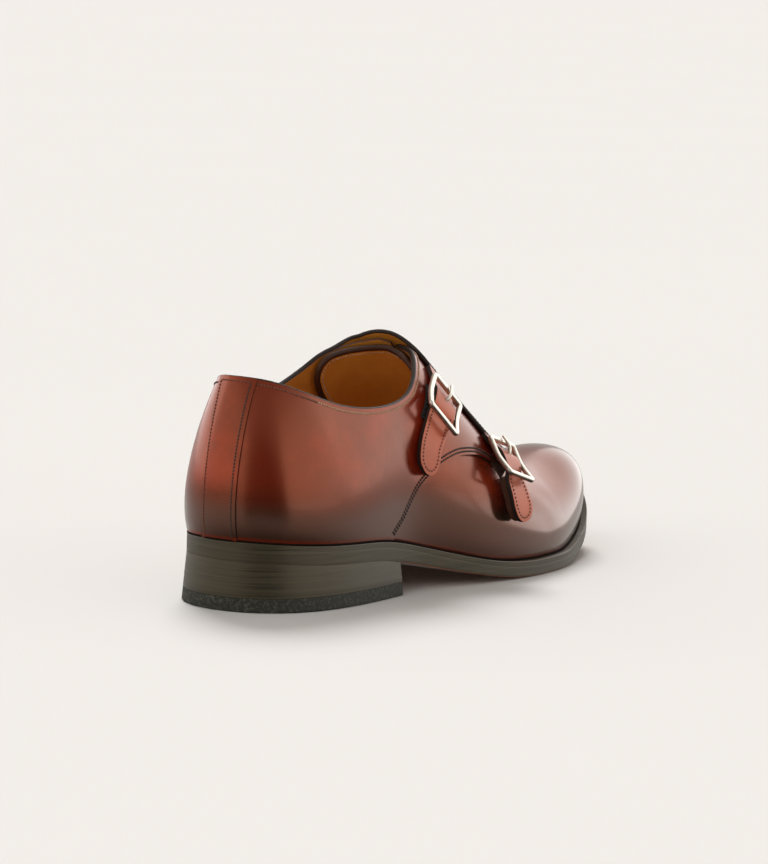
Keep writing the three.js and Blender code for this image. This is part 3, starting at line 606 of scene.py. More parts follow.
rubber, tree, shader = new_material("heel_rubber", Roughness=0.8)
where = add(tree, "TexCoord").outputs["Object"]
crumb = add(tree, "TexNoise", Vector=where, Scale=700.0, Detail=4.0, Roughness=0.7).outputs[0]
tree.links.new(mixed(tree, spread(tree, crumb, 0.45, 0.75), (0.017, 0.018, 0.012), (0.085, 0.082, 0.060)),
               shader.inputs["Base Color"])
bump = add(tree, "Bump", Height=crumb, Strength=0.8, Distance=0.0005)
tree.links.new(bump.outputs[0], shader.inputs["Normal"])

metal, tree, shader = new_material("buckle_nickel", Metallic=1.0)
where = add(tree, "TexCoord").outputs["Object"]
haze = add(tree, "TexNoise", Vector=where, Scale=500.0, Detail=3.0).outputs[0]
tree.links.new(mixed(tree, haze, (0.70, 0.64, 0.55), (0.84, 0.78, 0.69)), shader.inputs["Base Color"])
tree.links.new(spread(tree, haze, 0.3, 0.7, 0.30, 0.42), shader.inputs["Roughness"])

elastic, tree, shader = new_material("black_elastic", Roughness=0.85)
where = add(tree, "TexCoord").outputs["Object"]
ribs = add(tree, "TexWave", Vector=where, Scale=500.0, Distortion=0.5).outputs[0]
tree.links.new(mixed(tree, ribs, (0.006, 0.006, 0.006), (0.022, 0.021, 0.02)), shader.inputs["Base Color"])
bump = add(tree, "Bump", Height=ribs, Strength=0.5, Distance=0.0004)
tree.links.new(bump.outputs[0], shader.inputs["Normal"])
print("finishes:", len(bpy.data.materials))

# %% [markdown]
# ## Soft relief
# Leather that has been pulled over a last and strapped down is never quite smooth. A few shallow
# troughs, each with a low ridge beside it, are drawn as lines on the side of the shoe.
# They move the points of the sheets themselves, so that the light finds them.

# %% Troughs, and the number for the darker colour
# side, then two ends as (share of length, share of instep), width and depth in millimetres
TROUGHS = [
    (1, (0.60, 0.30), (0.69, 0.16), 5.0, 0.35),
    (1, (0.63, 0.38), (0.72, 0.26), 4.0, 0.25),
    (-1, (0.60, 0.32), (0.70, 0.18), 5.0, 0.35),
    (-1, (0.20, 0.45), (0.26, 0.2), 6.0, 0.3),
    (1, (0.30, 0.52), (0.35, 0.35), 6.0, 0.3),
]


def relief(points, w):
    y, z = points[..., 1], points[..., 2]
    total = np.zeros_like(y)
    for side, first, second, width, depth in TROUGHS:
        ends = [np.array([LAST_LENGTH * y_at, foot(LAST_LENGTH * y_at) + INSTEP * z_at])
                for y_at, z_at in (first, second)]
        line = ends[1] - ends[0]
        along = ((y - ends[0][0]) * line[0] + (z - ends[0][1]) * line[1]) / (line @ line)
        across = ((y - ends[0][0]) * -line[1] + (z - ends[0][1]) * line[0]) / math.sqrt(line @ line)
        fade = smooth(along, -0.25, 0.25) * (1 - smooth(along, 0.75, 1.25))
        shape = -np.exp(-((across / width) ** 2)) + 0.45 * np.exp(-(((across - 1.7 * width) / width) ** 2))
        total += np.where(side * w > 0, depth * fade * shape, 0)
    return total


def darkening_of(points):
    """How much darker the calf is, 0 to 1: more towards the sole, the heel's foot and the toe."""
    y, z = points[:, 1], points[:, 2]
    share = y / LAST_LENGTH
    high = (z - foot(np.clip(y, 0, LAST_LENGTH))) / INSTEP
    band = 0.22 + 0.10 * smooth(share, 0.15, 0.4) - 0.06 * smooth(share, 0.55, 0.8)
    low = 1 - smooth(high, band - 0.16, band + 0.12)
    toe = smooth(share, 0.76, 0.97)
    clear_of_feather = smooth((z - foot(np.clip(y, 0, LAST_LENGTH))), 1.0, 3.2)
    return np.clip(low + toe * (1 - low), 0, 1) * (0.25 + 0.75 * clear_of_feather)


def set_darkening(piece, extra=0.0):
    values = np.clip(darkening_of(points_of(piece)) + extra, 0, 1)
    piece.data.attributes.new("darkening", "FLOAT", "POINT").data.foreach_set("value", values.astype(np.float32))


# %% [markdown]
# ## The upper
# The vamp and the lining under the quarters are one shell, as in the CAD. It could be sculpted from
# a ball, but a grid laid on the last keeps the true form: its columns are the last's ribs, and each
# rib stops at the topline or closes over the crest. Solidify gives it its lining.

# %% The shell
STATIONS = 300
SHELL = 0.9


def shell_top(s, top):
    order = np.argsort(top[:, 0])
    return np.where(s < top[-1, 0], np.interp(s, top[order, 0], np.abs(top[order, 1])), 0.0)


def shell(u, v):
    a = u * FULL
    s = np.minimum(a, FULL - a)
    outer = a <= math.pi
    w_top = np.where(outer, shell_top(s, outer_top), shell_top(s, inner_top))
    w = (1.012 + (w_top - 1.012) * v) * np.where(outer, 1, -1)
    points = skin(s, w)
    return points + skin_normal(s, w) * relief(points, w)[:, None]


upper = grid_piece("vamp_and_lining", STATIONS, 60, shell, [calf_vamp, lining, strap_side])
apply_modifier(upper, "SOLIDIFY", thickness=SHELL / 1000, offset=-1.0, use_even_offset=False,
               material_offset=1, material_offset_rim=2)
set_darkening(upper, 0.06)
finish_piece(upper, ["upper"])

# %% [markdown]
# ## Quarters and back strip
# Each quarter is a thin sheet over the shell. It is ruled between its lower edge (the feather line,
# then the seam over the vamp) and its upper edge (the topline). The inner quarter climbs over the
# instep as the flap that carries the buckles.

# %% Sheets ruled between two edges
SHEET = 1.6
QUARTER_TOP = 1.5
FLAP_TOP = 3.8


def joined(*edges):
    return np.concatenate([np.atleast_2d(e) for e in edges])


def ruled(low, high, u, v):
    """Points (s, w) between two edges; the low edge is met at the high edge's own s."""
    far = np.concatenate([[0], np.cumsum(np.linalg.norm(np.diff(skin(*high.T), axis=0), axis=1))])
    far /= far[-1]
    s_high, w_high = (np.interp(u, far, high[:, i]) for i in (0, 1))
    share = (s_high - high[0, 0]) / (high[-1, 0] - high[0, 0])
    s_low = low[0, 0] + share * (low[-1, 0] - low[0, 0])
    w_low = np.interp(s_low, low[:, 0], low[:, 1])
    return s_low + (s_high - s_low) * v, w_low + (w_high - w_low) * v


def climb(points):
    return smooth(points[..., 0], -21, -13) * smooth(points[..., 1], 0.2 * LAST_LENGTH, 0.3 * LAST_LENGTH)


# where the seams leave the feather line, where the strip covers the quarters, and where the flap begins
ABOVE_FEATHER, BELOW_FEATHER = 0.985, 1.01
STRIP_FOOT_S, STRIP_TOP_S, FLAP_FROM_S = 0.10, 0.15, 1.40
NEXT_S = 0.004


def above_feather(rows):
    return rows[np.abs(rows[:, 1]) < ABOVE_FEATHER]


def lower_edge(seam, side):
    """The feather line from the strip to the seam, then the seam, then the crest."""
    up = above_feather(seam)
    feather = [[STRIP_FOOT_S, side * BELOW_FEATHER], [up[0, 0], side * BELOW_FEATHER]]
    return joined(feather, up, [up[-1, 0] + NEXT_S, 0.0])


outer_low = lower_edge(outer_seam, 1)
keep = outer_top[outer_top[:, 0] > STRIP_TOP_S]
crest_run = np.stack([np.linspace(keep[-1, 0] + NEXT_S, outer_low[-1, 0], 40), np.zeros(40)], -1)
outer_high = joined(keep, crest_run)


def outer_quarter(u, v):
    s, w = ruled(outer_low, outer_high, u, v)
    points = skin(s, w)
    return points + skin_normal(s, w) * (QUARTER_TOP + relief(points, w))[:, None]


quarter_outer = grid_piece("outer_quarter", 300, 56, outer_quarter, [calf, lining, edge_paint])
apply_modifier(quarter_outer, "SOLIDIFY", thickness=SHEET / 1000, offset=-1.0, material_offset=1,
               material_offset_rim=2)
set_darkening(quarter_outer)
finish_piece(quarter_outer, ["quarter_outer"])

# %% The inner quarter and its flap
inner_low = lower_edge(inner_seam, -1)
keep = inner_top[(inner_top[:, 0] > STRIP_TOP_S) & (inner_top[:, 0] < FLAP_FROM_S)]
inner_high = joined(keep, flap_edge[3:], [inner_low[-1, 0], 0.0])


def inner_quarter(u, v):
    s, w = ruled(inner_low, inner_high, u, 1 - v)
    points = skin(s, w)
    lift = QUARTER_TOP + (FLAP_TOP - QUARTER_TOP) * climb(points) + relief(points, w)
    return points + skin_normal(s, w) * lift[:, None]


quarter_inner = grid_piece("inner_quarter", 340, 80, inner_quarter, [calf, lining, edge_paint])
apply_modifier(quarter_inner, "SOLIDIFY", thickness=SHEET / 1000, offset=-1.0, material_offset=1,
               material_offset_rim=2)
set_darkening(quarter_inner)
finish_piece(quarter_inner, ["quarter_inner"])

# %% The back strip
STRIP_HALF = 8.5
STRIP_TOP = 2.3
strip_angles = np.linspace(0.0, 0.7, 200)


def strip_angle(t):
    """The angle at which a rib is half a strip away from the middle, for each height t."""
    reach = on_last(strip_angles[None, :], t[:, None])[..., 0]
    first = np.argmax(reach >= STRIP_HALF, axis=1)
    rows = np.arange(len(t))
    low, high = reach[rows, first - 1], reach[rows, first]
    return strip_angles[first - 1] + (STRIP_HALF - low) / (high - low) * (strip_angles[1] - strip_angles[0])


STRIP_FOOT = 0.012
heights = np.linspace(-0.01, 0.9, 60)
strip_edge = strip_angle(heights)
top_s, top_t = outer_top[:, 0], 1 - outer_top[:, 1]


def back_strip_points(u, v):
    side = 2 * u - 1
    t = v * 0.8
    for _ in range(4):
        a = side * np.interp(t, heights, strip_edge)
        t = STRIP_FOOT + v * (np.interp(np.abs(a), top_s, top_t) - STRIP_FOOT)
    w = 1 - t
    return lifted(a, w, np.full_like(w, STRIP_TOP))


strip = grid_piece("heel_strip", 24, 70, back_strip_points, [calf, edge_paint])
apply_modifier(strip, "SOLIDIFY", thickness=0.0012, offset=-1.0, material_offset_rim=1)
set_darkening(strip, 0.05)
finish_piece(strip, ["back_strip"])


# %% [markdown]
# ## Painted edges
# The topline, the flap and the tongue show a thick, rounded, painted edge. It is swept as a flat
# oval along the edge, which could also be a bevelled curve, but the oval has to lean with the
# leather wall. So each ring of it is laid between the wall's normal and the way along the edge.

# %% A bead along an edge
def directions(points):
    along = np.gradient(points, axis=0)
    return along / np.maximum(np.linalg.norm(along, axis=-1, keepdims=True), 1e-9)


def bead(name, points, normals, wide, high, material, sides=12):
    """wide and high are half sizes, across the wall and along it; points are the oval's middle."""
    along = directions(points)
    outward = normals - along * np.sum(normals * along, -1, keepdims=True)
    outward /= np.linalg.norm(outward, axis=-1, keepdims=True)
    upward = np.cross(along, outward)
    count = len(points)
    wide, high = np.broadcast_to(wide, count), np.broadcast_to(high, count)

    def where(u, v):
        i = np.round(v * (count - 1)).astype(int)
        turn = u * FULL
        return (points[i] + outward[i] * (wide[i] * np.cos(turn))[:, None]
                + upward[i] * (high[i] * np.sin(turn))[:, None])

    return grid_piece(name, sides, count - 1, where, [material], closed=True)


def edge_frame(edge, lift, count):
    """An edge given as (s, w), evenly stepped: its middle points at a lift and its normals."""
    fine = skin(*edge.T)
    far = np.concatenate([[0], np.cumsum(np.linalg.norm(np.diff(fine, axis=0), axis=1))])
    step = np.linspace(0, far[-1], count)
    s, w = np.interp(step, far, edge[:, 0]), np.interp(step, far, edge[:, 1])
    points, normals = skin(s, w), skin_normal(s, w)
    lift = lift(points) if callable(lift) else np.full(count, float(lift))
    return points + normals * lift[:, None], normals, points


# the path runs from the outer front round the heel to the inner front and down the flap
collar_path = joined(outer_top[::-1], -inner_top[inner_top[:, 0] < FLAP_FROM_S], -flap_edge[3:])
COLLAR_LIFT, FLAP_BEAD_LIFT = 0.6, FLAP_TOP - 0.8


def climb_inner(points):
    return climb(points) * flap_side


def collar_middle(points):
    return COLLAR_LIFT + (FLAP_BEAD_LIFT - COLLAR_LIFT) * climb_inner(points)


steps = 520
fine = skin(*collar_path.T)
far = np.concatenate([[0], np.cumsum(np.linalg.norm(np.diff(fine, axis=0), axis=1))])
turn_at = far[len(outer_top)]
flap_side = (np.linspace(0, far[-1], steps) > turn_at).astype(float)
middle, normals, base_points = edge_frame(collar_path, collar_middle, steps)
wide = 0.95 + 0.05 * climb_inner(base_points)
collar = bead("collar_edge", middle, normals, wide, 0.7, edge_paint, 14)
finish_piece(collar)

# %% [markdown]
# ## Sole, welt and heel
# These are plates that follow the foot's outline. Each plate starts as a grid, rolled into a closed
# band whose edge has small rounded corners, so no cube or cylinder has to be cut to shape. Only the
# heel's hollow front is cut, by a real cylinder and a Boolean.

# %% Plates
def shelf(y):
    return SEAT_SHELF + (SHELF - SEAT_SHELF) * smooth(y, HEEL_LENGTH - 26, HEEL_LENGTH + 34)


def plate(name, grow, top, bottom, materials, to=math.pi, corner=0.5, grow_low=None, stations=220,
          round_low=None):
    """A plate with rounded edges between two heights; grow is its reach past the feather line."""
    low_corner = round_low or (lambda y: corner)
    turns = np.linspace(0, math.pi / 2, 5)
    edge = [(np.sin(q) - 1, "top", np.cos(q) - 1) for q in turns]
    edge += [(0.0, "mid", share) for share in (0.25, 0.5, 0.75)]
    edge += [(np.cos(q) - 1, "bottom", 1 - np.sin(q)) for q in turns]
    across = 10
    loop = 2 * len(edge) + 2 * (across - 1)

    def corner_points(a, k):
        reach_in, level, dz = edge[k]
        y0 = LAST_LENGTH * (1 - np.cos(a)) / 2
        high, low = grow(y0), (grow_low or grow)(y0)
        size = low_corner(y0) if level == "bottom" else corner
        share = {"top": 1.0, "bottom": 0.0, "mid": 1 - dz if level == "mid" else 0}[level]
        xy, _ = outline(a, low + (high - low) * share + reach_in * size)
        z_top, z_low = top(xy[..., 1]), bottom(xy[..., 1])
        dz = dz if level == "mid" else dz * size
        z = {"top": z_top + dz, "bottom": z_low + dz, "mid": z_low + (z_top - z_low) * (1 - dz)}[level]
        return np.concatenate([xy, z[..., None]], -1)

    def where(u, v):
        s = v * to
        k = np.round(u * loop).astype(int) % loop
        points = np.zeros((len(u), 3))
        n = len(edge)
        outer = [corner_points(s, i) for i in range(n)]
        inner = [corner_points(-s, i) for i in range(n)]
        for i in range(n):
            points[k == i] = outer[i][k == i]
            points[k == n + across - 1 + i] = inner[n - 1 - i][k == n + across - 1 + i]
        for j in range(1, across):
            share = j / across
            low_line = outer[-1] + (inner[-1] - outer[-1]) * share
            low_line[:, 2] = bottom(low_line[:, 1])
            top_line = inner[0] + (outer[0] - inner[0]) * share
            top_line[:, 2] = top(top_line[:, 1])
            points[k == n + j - 1] = low_line[k == n + j - 1]
            points[k == 2 * n + across - 1 + j - 1] = top_line[k == 2 * n + across - 1 + j - 1]
        return points

    return grid_piece(name, loop, stations, where, materials, closed=True)


# %% Painted shade: a near-black line in the gap where the upper meets the welt
around = np.linspace(0, FULL, 401)
line_s, line_w = np.minimum(around, FULL - around), np.where(around <= math.pi, 1.0, -1.0)
line_up = skin_normal(line_s, line_w) * np.array([1, 1, 0])
line_up /= np.linalg.norm(line_up, axis=1, keepdims=True)
line_at = skin(line_s, line_w)
quarter_here = 1 - smooth(line_at[:, 1], 128, 150)
strip_here = 1 - smooth(np.abs(line_s), 0.09, 0.13)
out_by = 0.35 + (QUARTER_TOP - 0.2) * quarter_here + 0.7 * strip_here
LINE_HALF = 0.5
line_at = line_at + line_up * out_by[:, None] + [0, 0, LINE_HALF]
finish_piece(bead("painted_feather_shade", line_at, line_up, LINE_HALF, LINE_HALF, painted_gap_shade, 8))

# %% Welt and outsole
welt = plate("welt_strip", shelf, foot, lambda y: foot(y) - WELT, [sole_edge], corner=0.35,
             round_low=lambda y: 0.03 + 0 * y)
finish_piece(welt, ["welt"])
outsole = plate("outsole_leather", shelf, lambda y: foot(y) - WELT + 0.02, under, [sole_edge, sole_under],
                corner=0.03, round_low=lambda y: 0.05 + 0.6 * smooth(y, HEEL_LENGTH - 6, HEEL_LENGTH + 6))
finish_piece(outsole, ["outsole"])
normals_z = np.empty(len(outsole.data.polygons) * 3)
outsole.data.polygons.foreach_get("normal", normals_z)
outsole.data.polygons.foreach_set("material_index", (normals_z.reshape(-1, 3)[:, 2] < -0.25).astype(np.int32))

# %% The heel, cut by the breast's cylinder
def flare_at(z):
    return SEAT_SHELF + HEEL_FLARE * (1 - z / HEEL_HEIGHT)


def cut_breast(piece):
    bpy.ops.object.select_all(action="DESELECT")
    middle = HEEL_LENGTH + math.sqrt(BREAST_RADIUS**2 - (LAST_WIDTH * 0.36) ** 2)
    bpy.ops.mesh.primitive_cylinder_add(vertices=256, radius=BREAST_RADIUS / 1000, depth=0.2,
                                        location=to_frame([0, middle, 0]))
    cutter = bpy.context.active_object
    apply_modifier(piece, "BOOLEAN", object=cutter, operation="DIFFERENCE", solver="EXACT")
    bpy.data.objects.remove(cutter, do_unlink=True)
    apply_modifier(piece, "BEVEL", width=0.0003, segments=2, limit_method="ANGLE", angle_limit=math.radians(60))


heel_to = float(angle_at((HEEL_LENGTH + 12) / LAST_LENGTH))
heel = plate("heel_stack_leather", lambda y: flare_at(HEEL_HEIGHT) + 0 * y, lambda y: under(y) + 0.02,
             lambda y: TOP_PIECE + 0.05 + 0 * y, [sole_edge], to=heel_to, corner=0.05,
             grow_low=lambda y: flare_at(TOP_PIECE) + 0 * y, stations=120)
cut_breast(heel)
finish_piece(heel, ["heel_stack"])
top_piece = plate("heel_top_piece", lambda y: flare_at(TOP_PIECE) + 0 * y, lambda y: TOP_PIECE - 0.05 + 0 * y,
                  lambda y: 0.0 * y, [rubber], to=heel_to, corner=0.12, round_low=lambda y: 0.5 + 0 * y,
                  grow_low=lambda y: flare_at(0) + 0 * y, stations=120)
cut_breast(top_piece)
finish_piece(top_piece, ["top_piece"])
sock = plate("sock_lining", lambda y: -SHELL - 0.3 + 0 * y, lambda y: foot(y) + 2.7, lambda y: foot(y) + 0.2,
             [lining], corner=0.4)
finish_piece(sock, ["insole"])

# %% [markdown]
# ## The tongue
# The tongue lies under the flap and stands behind the outer quarter, lining side to the heel.
# It could be a flat piece bent with a lattice, but it has to follow the instep, so it is ruled on
# the last like the quarters, a wall's thickness further in. Its edge is bound with a brown bead.

# %% Tongue and its bound edge
tongue_inner = edge_on_last(TONGUE_EDGE, -1)
tongue_outer = edge_on_last(TONGUE_OUTER_EDGE, 1)
tongue_back = joined(tongue_inner, tongue_outer[::-1])
front_s = float(angle_at(0.6))
TONGUE_LIFT, TONGUE_WALL = -2.5, 1.8


def tongue_points(u, v):
    far = np.concatenate([[0], np.cumsum(np.linalg.norm(np.diff(skin(*tongue_back.T), axis=0), axis=1))])
    far /= far[-1]
    s, w = (np.interp(u, far, tongue_back[:, i]) for i in (0, 1))
    s2, w2 = front_s, tongue_back[0, 1] + (tongue_back[-1, 1] - tongue_back[0, 1]) * u
    return lifted(s + (s2 - s) * v, w + (w2 - w) * v, np.full_like(u, TONGUE_LIFT))


tongue = grid_piece("tongue_leather", 120, 50, tongue_points, [calf_vamp, lining, edge_paint])
apply_modifier(tongue, "SOLIDIFY", thickness=TONGUE_WALL / 1000, offset=-1.0, material_offset=1,
               material_offset_rim=2)
set_darkening(tongue)
finish_piece(tongue, ["tongue"])
middle, normals, _ = edge_frame(tongue_back, TONGUE_LIFT - TONGUE_WALL / 2, 200)
tongue_bead = bead("tongue_binding", middle, normals, 1.4, 1.5, strap_side, 12)
finish_piece(tongue_bead)

# %% [markdown]
# ## Straps and buckles
# Each strap is a long grid laid along a line on the outer side. It starts under the flap, rises
# over the buckle's middle bar and lies on the leather again, and its tip is rounded. The lower one
# stands off the vamp on its own lining. A buckle's frame is a ring of round wire, squared a little
# as a cast frame is, and each bar and prong is a curve with a thickness, made a mesh.

# %% The lines that the straps follow
BUCKLE_LENGTH, BUCKLE_WIDTH, STRAP_WIDTH, STRAP = 22.5, 23.0, 15.0, 2.0
FRAME_RADIUS, BAR_RADIUS, PRONG_RADIUS, CLEAR = 1.2, 0.9, 0.8, 0.3
ELASTIC_LOW = 2 * CLEAR + 1.2
REST = ELASTIC_LOW + 0.6 + CLEAR
BAR_LIFT = REST + BAR_RADIUS
OVER_BAR = BAR_LIFT + BAR_RADIUS + CLEAR
FRAME_LIFT = REST + STRAP + 2 * CLEAR + FRAME_RADIUS
# stand and tip's stand off the leather, the middle bar's place along the strap, lean and twist
UPPER_FIT = (0.3, 0.3, 21.5, 6.0, 4.0)
LOWER_FIT = (2.0, 0.6, 14.0, 11.0, 13.0)


class Route:
    """A line on the outer side with its length, points, normals and directions."""

    def __init__(self, rows, fit=(0, 0, 0, 0, 0), count=200):
        self.stand, self.tip_stand, self.seat, self.lean, self.twist = fit
        y = LAST_LENGTH * np.array(rows)[:, 0]
        found = find(np.stack([y, foot(y) + INSTEP * np.array(rows)[:, 1]], -1), 1)
        self.points = through_points(skin(*found.T), count)
        fine = through_points(np.concatenate([skin(*found.T), 40 * skin_normal(*found.T)], 1), count)
        self.length = float(np.sum(np.linalg.norm(np.diff(self.points, axis=0), axis=1)))
        self.along = directions(self.points)
        normals = fine[:, 3:]
        normals = normals - self.along * np.sum(normals * self.along, -1, keepdims=True)
        self.normals = normals / np.linalg.norm(normals, axis=-1, keepdims=True)
        self.far = np.linspace(0, self.length, count)

    def frame(self, s):
        at = [np.stack([np.interp(s, self.far, a[:, i]) for i in range(3)], -1)
              for a in (self.points, self.normals, self.along)]
        before = np.minimum(s, 0)[..., None] * self.along[0]
        point, normal, along = at[0] + before, at[1], at[2]
        normal /= np.linalg.norm(normal, axis=-1, keepdims=True)
        along /= np.linalg.norm(along, axis=-1, keepdims=True)
        return point, normal, along, np.cross(normal, along)

    def lay(self, s, w, lift):
        point, normal, _, across = self.frame(np.asarray(s, float))
        return point + across * np.asarray(w)[..., None] + normal * np.asarray(lift)[..., None]


def strap_lift(s, route):
    bump = np.exp(-(((s - route.seat) / (BUCKLE_LENGTH * 0.26)) ** 4))
    start = (REST - ELASTIC_LOW - CLEAR / 3) * (1 - smooth(s, 0, route.seat))
    return (route.stand * smooth(s, -2, route.seat) + REST - start + (OVER_BAR - REST) * bump
            + route.tip_stand * smooth(s, route.seat + BUCKLE_LENGTH / 2, route.length))


def half_width(s, length, inset=0.0):
    tip = STRAP_WIDTH * 0.55 - inset
    ease = np.clip((length - inset - s) / tip, 0.0, 1)
    return (STRAP_WIDTH / 2 - inset) * np.sqrt(np.maximum(0, 1 - (1 - ease) ** 2))


def make_strap(name, route, node):
    length = route.length

    def where(u, v):
        s = length * (1 - (1 - v) ** 1.6)
        half = np.maximum(half_width(s, length), 0.15)
        return route.lay(s, half * (1 - 2 * u), strap_lift(s, route) + STRAP)

    piece = grid_piece(name, 16, 130, where, [calf_strap, edge_paint])
    apply_modifier(piece, "SOLIDIFY", thickness=STRAP / 1000, offset=-1.0, material_offset_rim=1)
    apply_modifier(piece, "BEVEL", width=0.00035, segments=2, limit_method="ANGLE",
                   angle_limit=math.radians(50))
    set_darkening(piece, -0.6)
    finish_piece(piece, [node])


upper_route, lower_route = Route(UPPER_STRAP, UPPER_FIT), Route(LOWER_STRAP, LOWER_FIT)
make_strap("upper_strap", upper_route, "strap_upper")
make_strap("lower_strap", lower_route, "strap_lower")


def strap_padding(u, v):
    """The layers under the lower strap, from past the middle bar to the tip."""
    start, end = lower_route.seat + 6, lower_route.length - 0.3
    s = start + (end - start) * (1 - (1 - v) ** 1.6)
    half = np.maximum(half_width(s, end, 0.35), 0.15)
    return lower_route.lay(s, half * (1 - 2 * u), strap_lift(s, lower_route) - 0.05)


padding = grid_piece("lower_strap_lining", 12, 70, strap_padding, [strap_side])
apply_modifier(padding, "SOLIDIFY", thickness=0.0027, offset=-1.0)
finish_piece(padding)
print("strap lengths, mm:", round(upper_route.length, 1), round(lower_route.length, 1))


# %% Buckle frames, bars and prongs
def rounded_rectangle(half_long, half_wide, corner, count):
    points = []
    for quarter, (cs, cw) in enumerate(((1, 1), (-1, 1), (-1, -1), (1, -1))):
        for q in np.linspace(0, math.pi / 2, 12):
            turn = quarter * math.pi / 2 + q
            points.append((cs * (half_long - corner) + corner * math.cos(turn),
                           cw * (half_wide - corner) + corner * math.sin(turn)))
    points.append(points[0])
    return evenly(np.array(points), count + 1)[:-1]


def rod(name, points, radii):
    """A round bar drawn as a curve through points, then made a mesh."""
    bpy.ops.object.select_all(action="DESELECT")
    bpy.ops.curve.primitive_nurbs_path_add()
    path = bpy.context.active_object
    path.name = name
    curve = path.data
    curve.splines.clear()
    spline = curve.splines.new("POLY")
    spline.points.add(len(points) - 1)
    for point, place, radius in zip(spline.points, to_frame(points), np.broadcast_to(radii, len(points))):
        point.co = (*place, 1)
        point.radius = float(radius) / 1000
    curve.bevel_depth = 1.0
    curve.bevel_resolution = 4
    curve.use_fill_caps = True
    bpy.ops.object.convert(target="MESH")
    made = bpy.context.active_object
    made.data.materials.append(metal)
    return made


def turned(v, axis, degrees):
    t = math.radians(degrees)
    return v * math.cos(t) + np.cross(axis, v) * math.sin(t) + axis * (axis @ v) * (1 - math.cos(t))


def make_buckle(label, route, frame_node, prong_node):
    point, normal, along, across = (a[0] for a in route.frame(np.array([route.seat])))
    centre = point + normal * (BAR_LIFT + route.stand)
    up_there = turned(normal, across, -route.lean)
    along = turned(turned(along, across, -route.lean), up_there, -route.twist)
    across = np.cross(up_there, along)

    def place(s, w, lift):
        return centre + np.outer(s, along) + np.outer(w, across) + np.outer(lift - BAR_LIFT, up_there)

    half_long, half_wide = BUCKLE_LENGTH / 2 - FRAME_RADIUS, BUCKLE_WIDTH / 2 - FRAME_RADIUS
    ring = rounded_rectangle(half_long, half_wide, 1.3, 160)
    dip = 0.35 * (FRAME_LIFT - BAR_LIFT)
    bow = FRAME_LIFT - dip * (1 - np.minimum(1, np.abs(ring[:, 0]) / (half_long - 1)) ** 1.5)
    middle = place(ring[:, 0], ring[:, 1], bow)
    outward = place(*np.roll(ring, -1, 0).T, np.roll(bow, -1)) - place(*np.roll(ring, 1, 0).T, np.roll(bow, 1))
    outward /= np.linalg.norm(outward, axis=1, keepdims=True)
    right = np.cross(outward, np.broadcast_to(up_there, outward.shape))
    right /= np.linalg.norm(right, axis=1, keepdims=True)
    up = np.cross(right, outward)

    def where(u, v):
        i = np.round(v * len(ring)).astype(int) % len(ring)
        turn = u * FULL
        flatten = 1 / (np.abs(np.cos(turn)) ** 3 + np.abs(np.sin(turn)) ** 3) ** (1 / 3)
        radius = FRAME_RADIUS * 0.98 * flatten
        return (middle[i] + right[i] * (radius * np.cos(turn))[:, None]
                + up[i] * (radius * 0.97 * np.sin(turn))[:, None])

    frame_piece = grid_piece("frame_" + label, 20, len(ring), where, [metal], closed=True)
    bar_w = np.linspace(-half_wide, half_wide, 25)
    bar_lift = BAR_LIFT + (FRAME_LIFT - dip - BAR_LIFT) * np.abs(bar_w / half_wide) ** 6
    bar = rod("bar", place(np.zeros(25), bar_w, bar_lift), BAR_RADIUS)
    only(frame_piece)
    bar.select_set(True)
    bpy.ops.object.join()
    finish_piece(frame_piece, [frame_node])
    tip_lift = FRAME_LIFT + FRAME_RADIUS + CLEAR + PRONG_RADIUS
    start = -BAR_RADIUS - CLEAR - PRONG_RADIUS
    s = [start, start - 0.3, start - 1.6, -half_long * 0.6, -half_long - 1.6]
    lift = [BAR_LIFT, OVER_BAR + STRAP * 0.6, OVER_BAR + STRAP + 0.9, tip_lift, tip_lift - 0.2]
    line = through_points(place(np.array(s), np.zeros(5), np.array(lift)), 40)
    prong = rod("prong_" + label, line, PRONG_RADIUS * (1 - 0.3 * smooth(np.linspace(0, 1, 40), 0.7, 1)))
    finish_piece(prong, [prong_node])


make_buckle("upper", upper_route, "buckle_frame_upper", "buckle_prong_upper")
make_buckle("lower", lower_route, "buckle_frame_lower", "buckle_prong_lower")


# %% Elastic gussets under the straps
def make_elastic(name, rows, stand, node, half, finish):
    route = Route(rows)

    def where(u, v):
        s = v * route.length
        lift = ELASTIC_LOW + stand * (1 - smooth(s, 0, route.length)) + 0.6
        return route.lay(s, half * (1 - 2 * u), lift)

    piece = grid_piece(name, 12, 20, where, [finish])
    apply_modifier(piece, "SOLIDIFY", thickness=0.0006, offset=-1.0)
    finish_piece(piece, [node])


make_elastic("gusset_upper", UPPER_ELASTIC, 0.3, "elastic_upper", 3.6, elastic)
make_elastic("gusset_lower", LOWER_ELASTIC, 1.2, "elastic_lower", 4.2, strap_side)

# %% [markdown]
# ## Stitching
# One stitch is a ball drawn out along the thread. It could be an array on a curve, but copies can
# each lie flat on the leather. They follow every row at the pitch of fine shoe stitching, 1.4 to
# 1.7 mm, and each row is joined into one piece.

# %% One stitch, and rows of it
bpy.ops.object.select_all(action="DESELECT")
bpy.ops.mesh.primitive_uv_sphere_add(segments=8, ring_count=6, radius=1)
stitch = bpy.context.active_object
edit(stitch)
bpy.ops.transform.resize(value=(0.00085, 0.00034, 0.00026))
done()


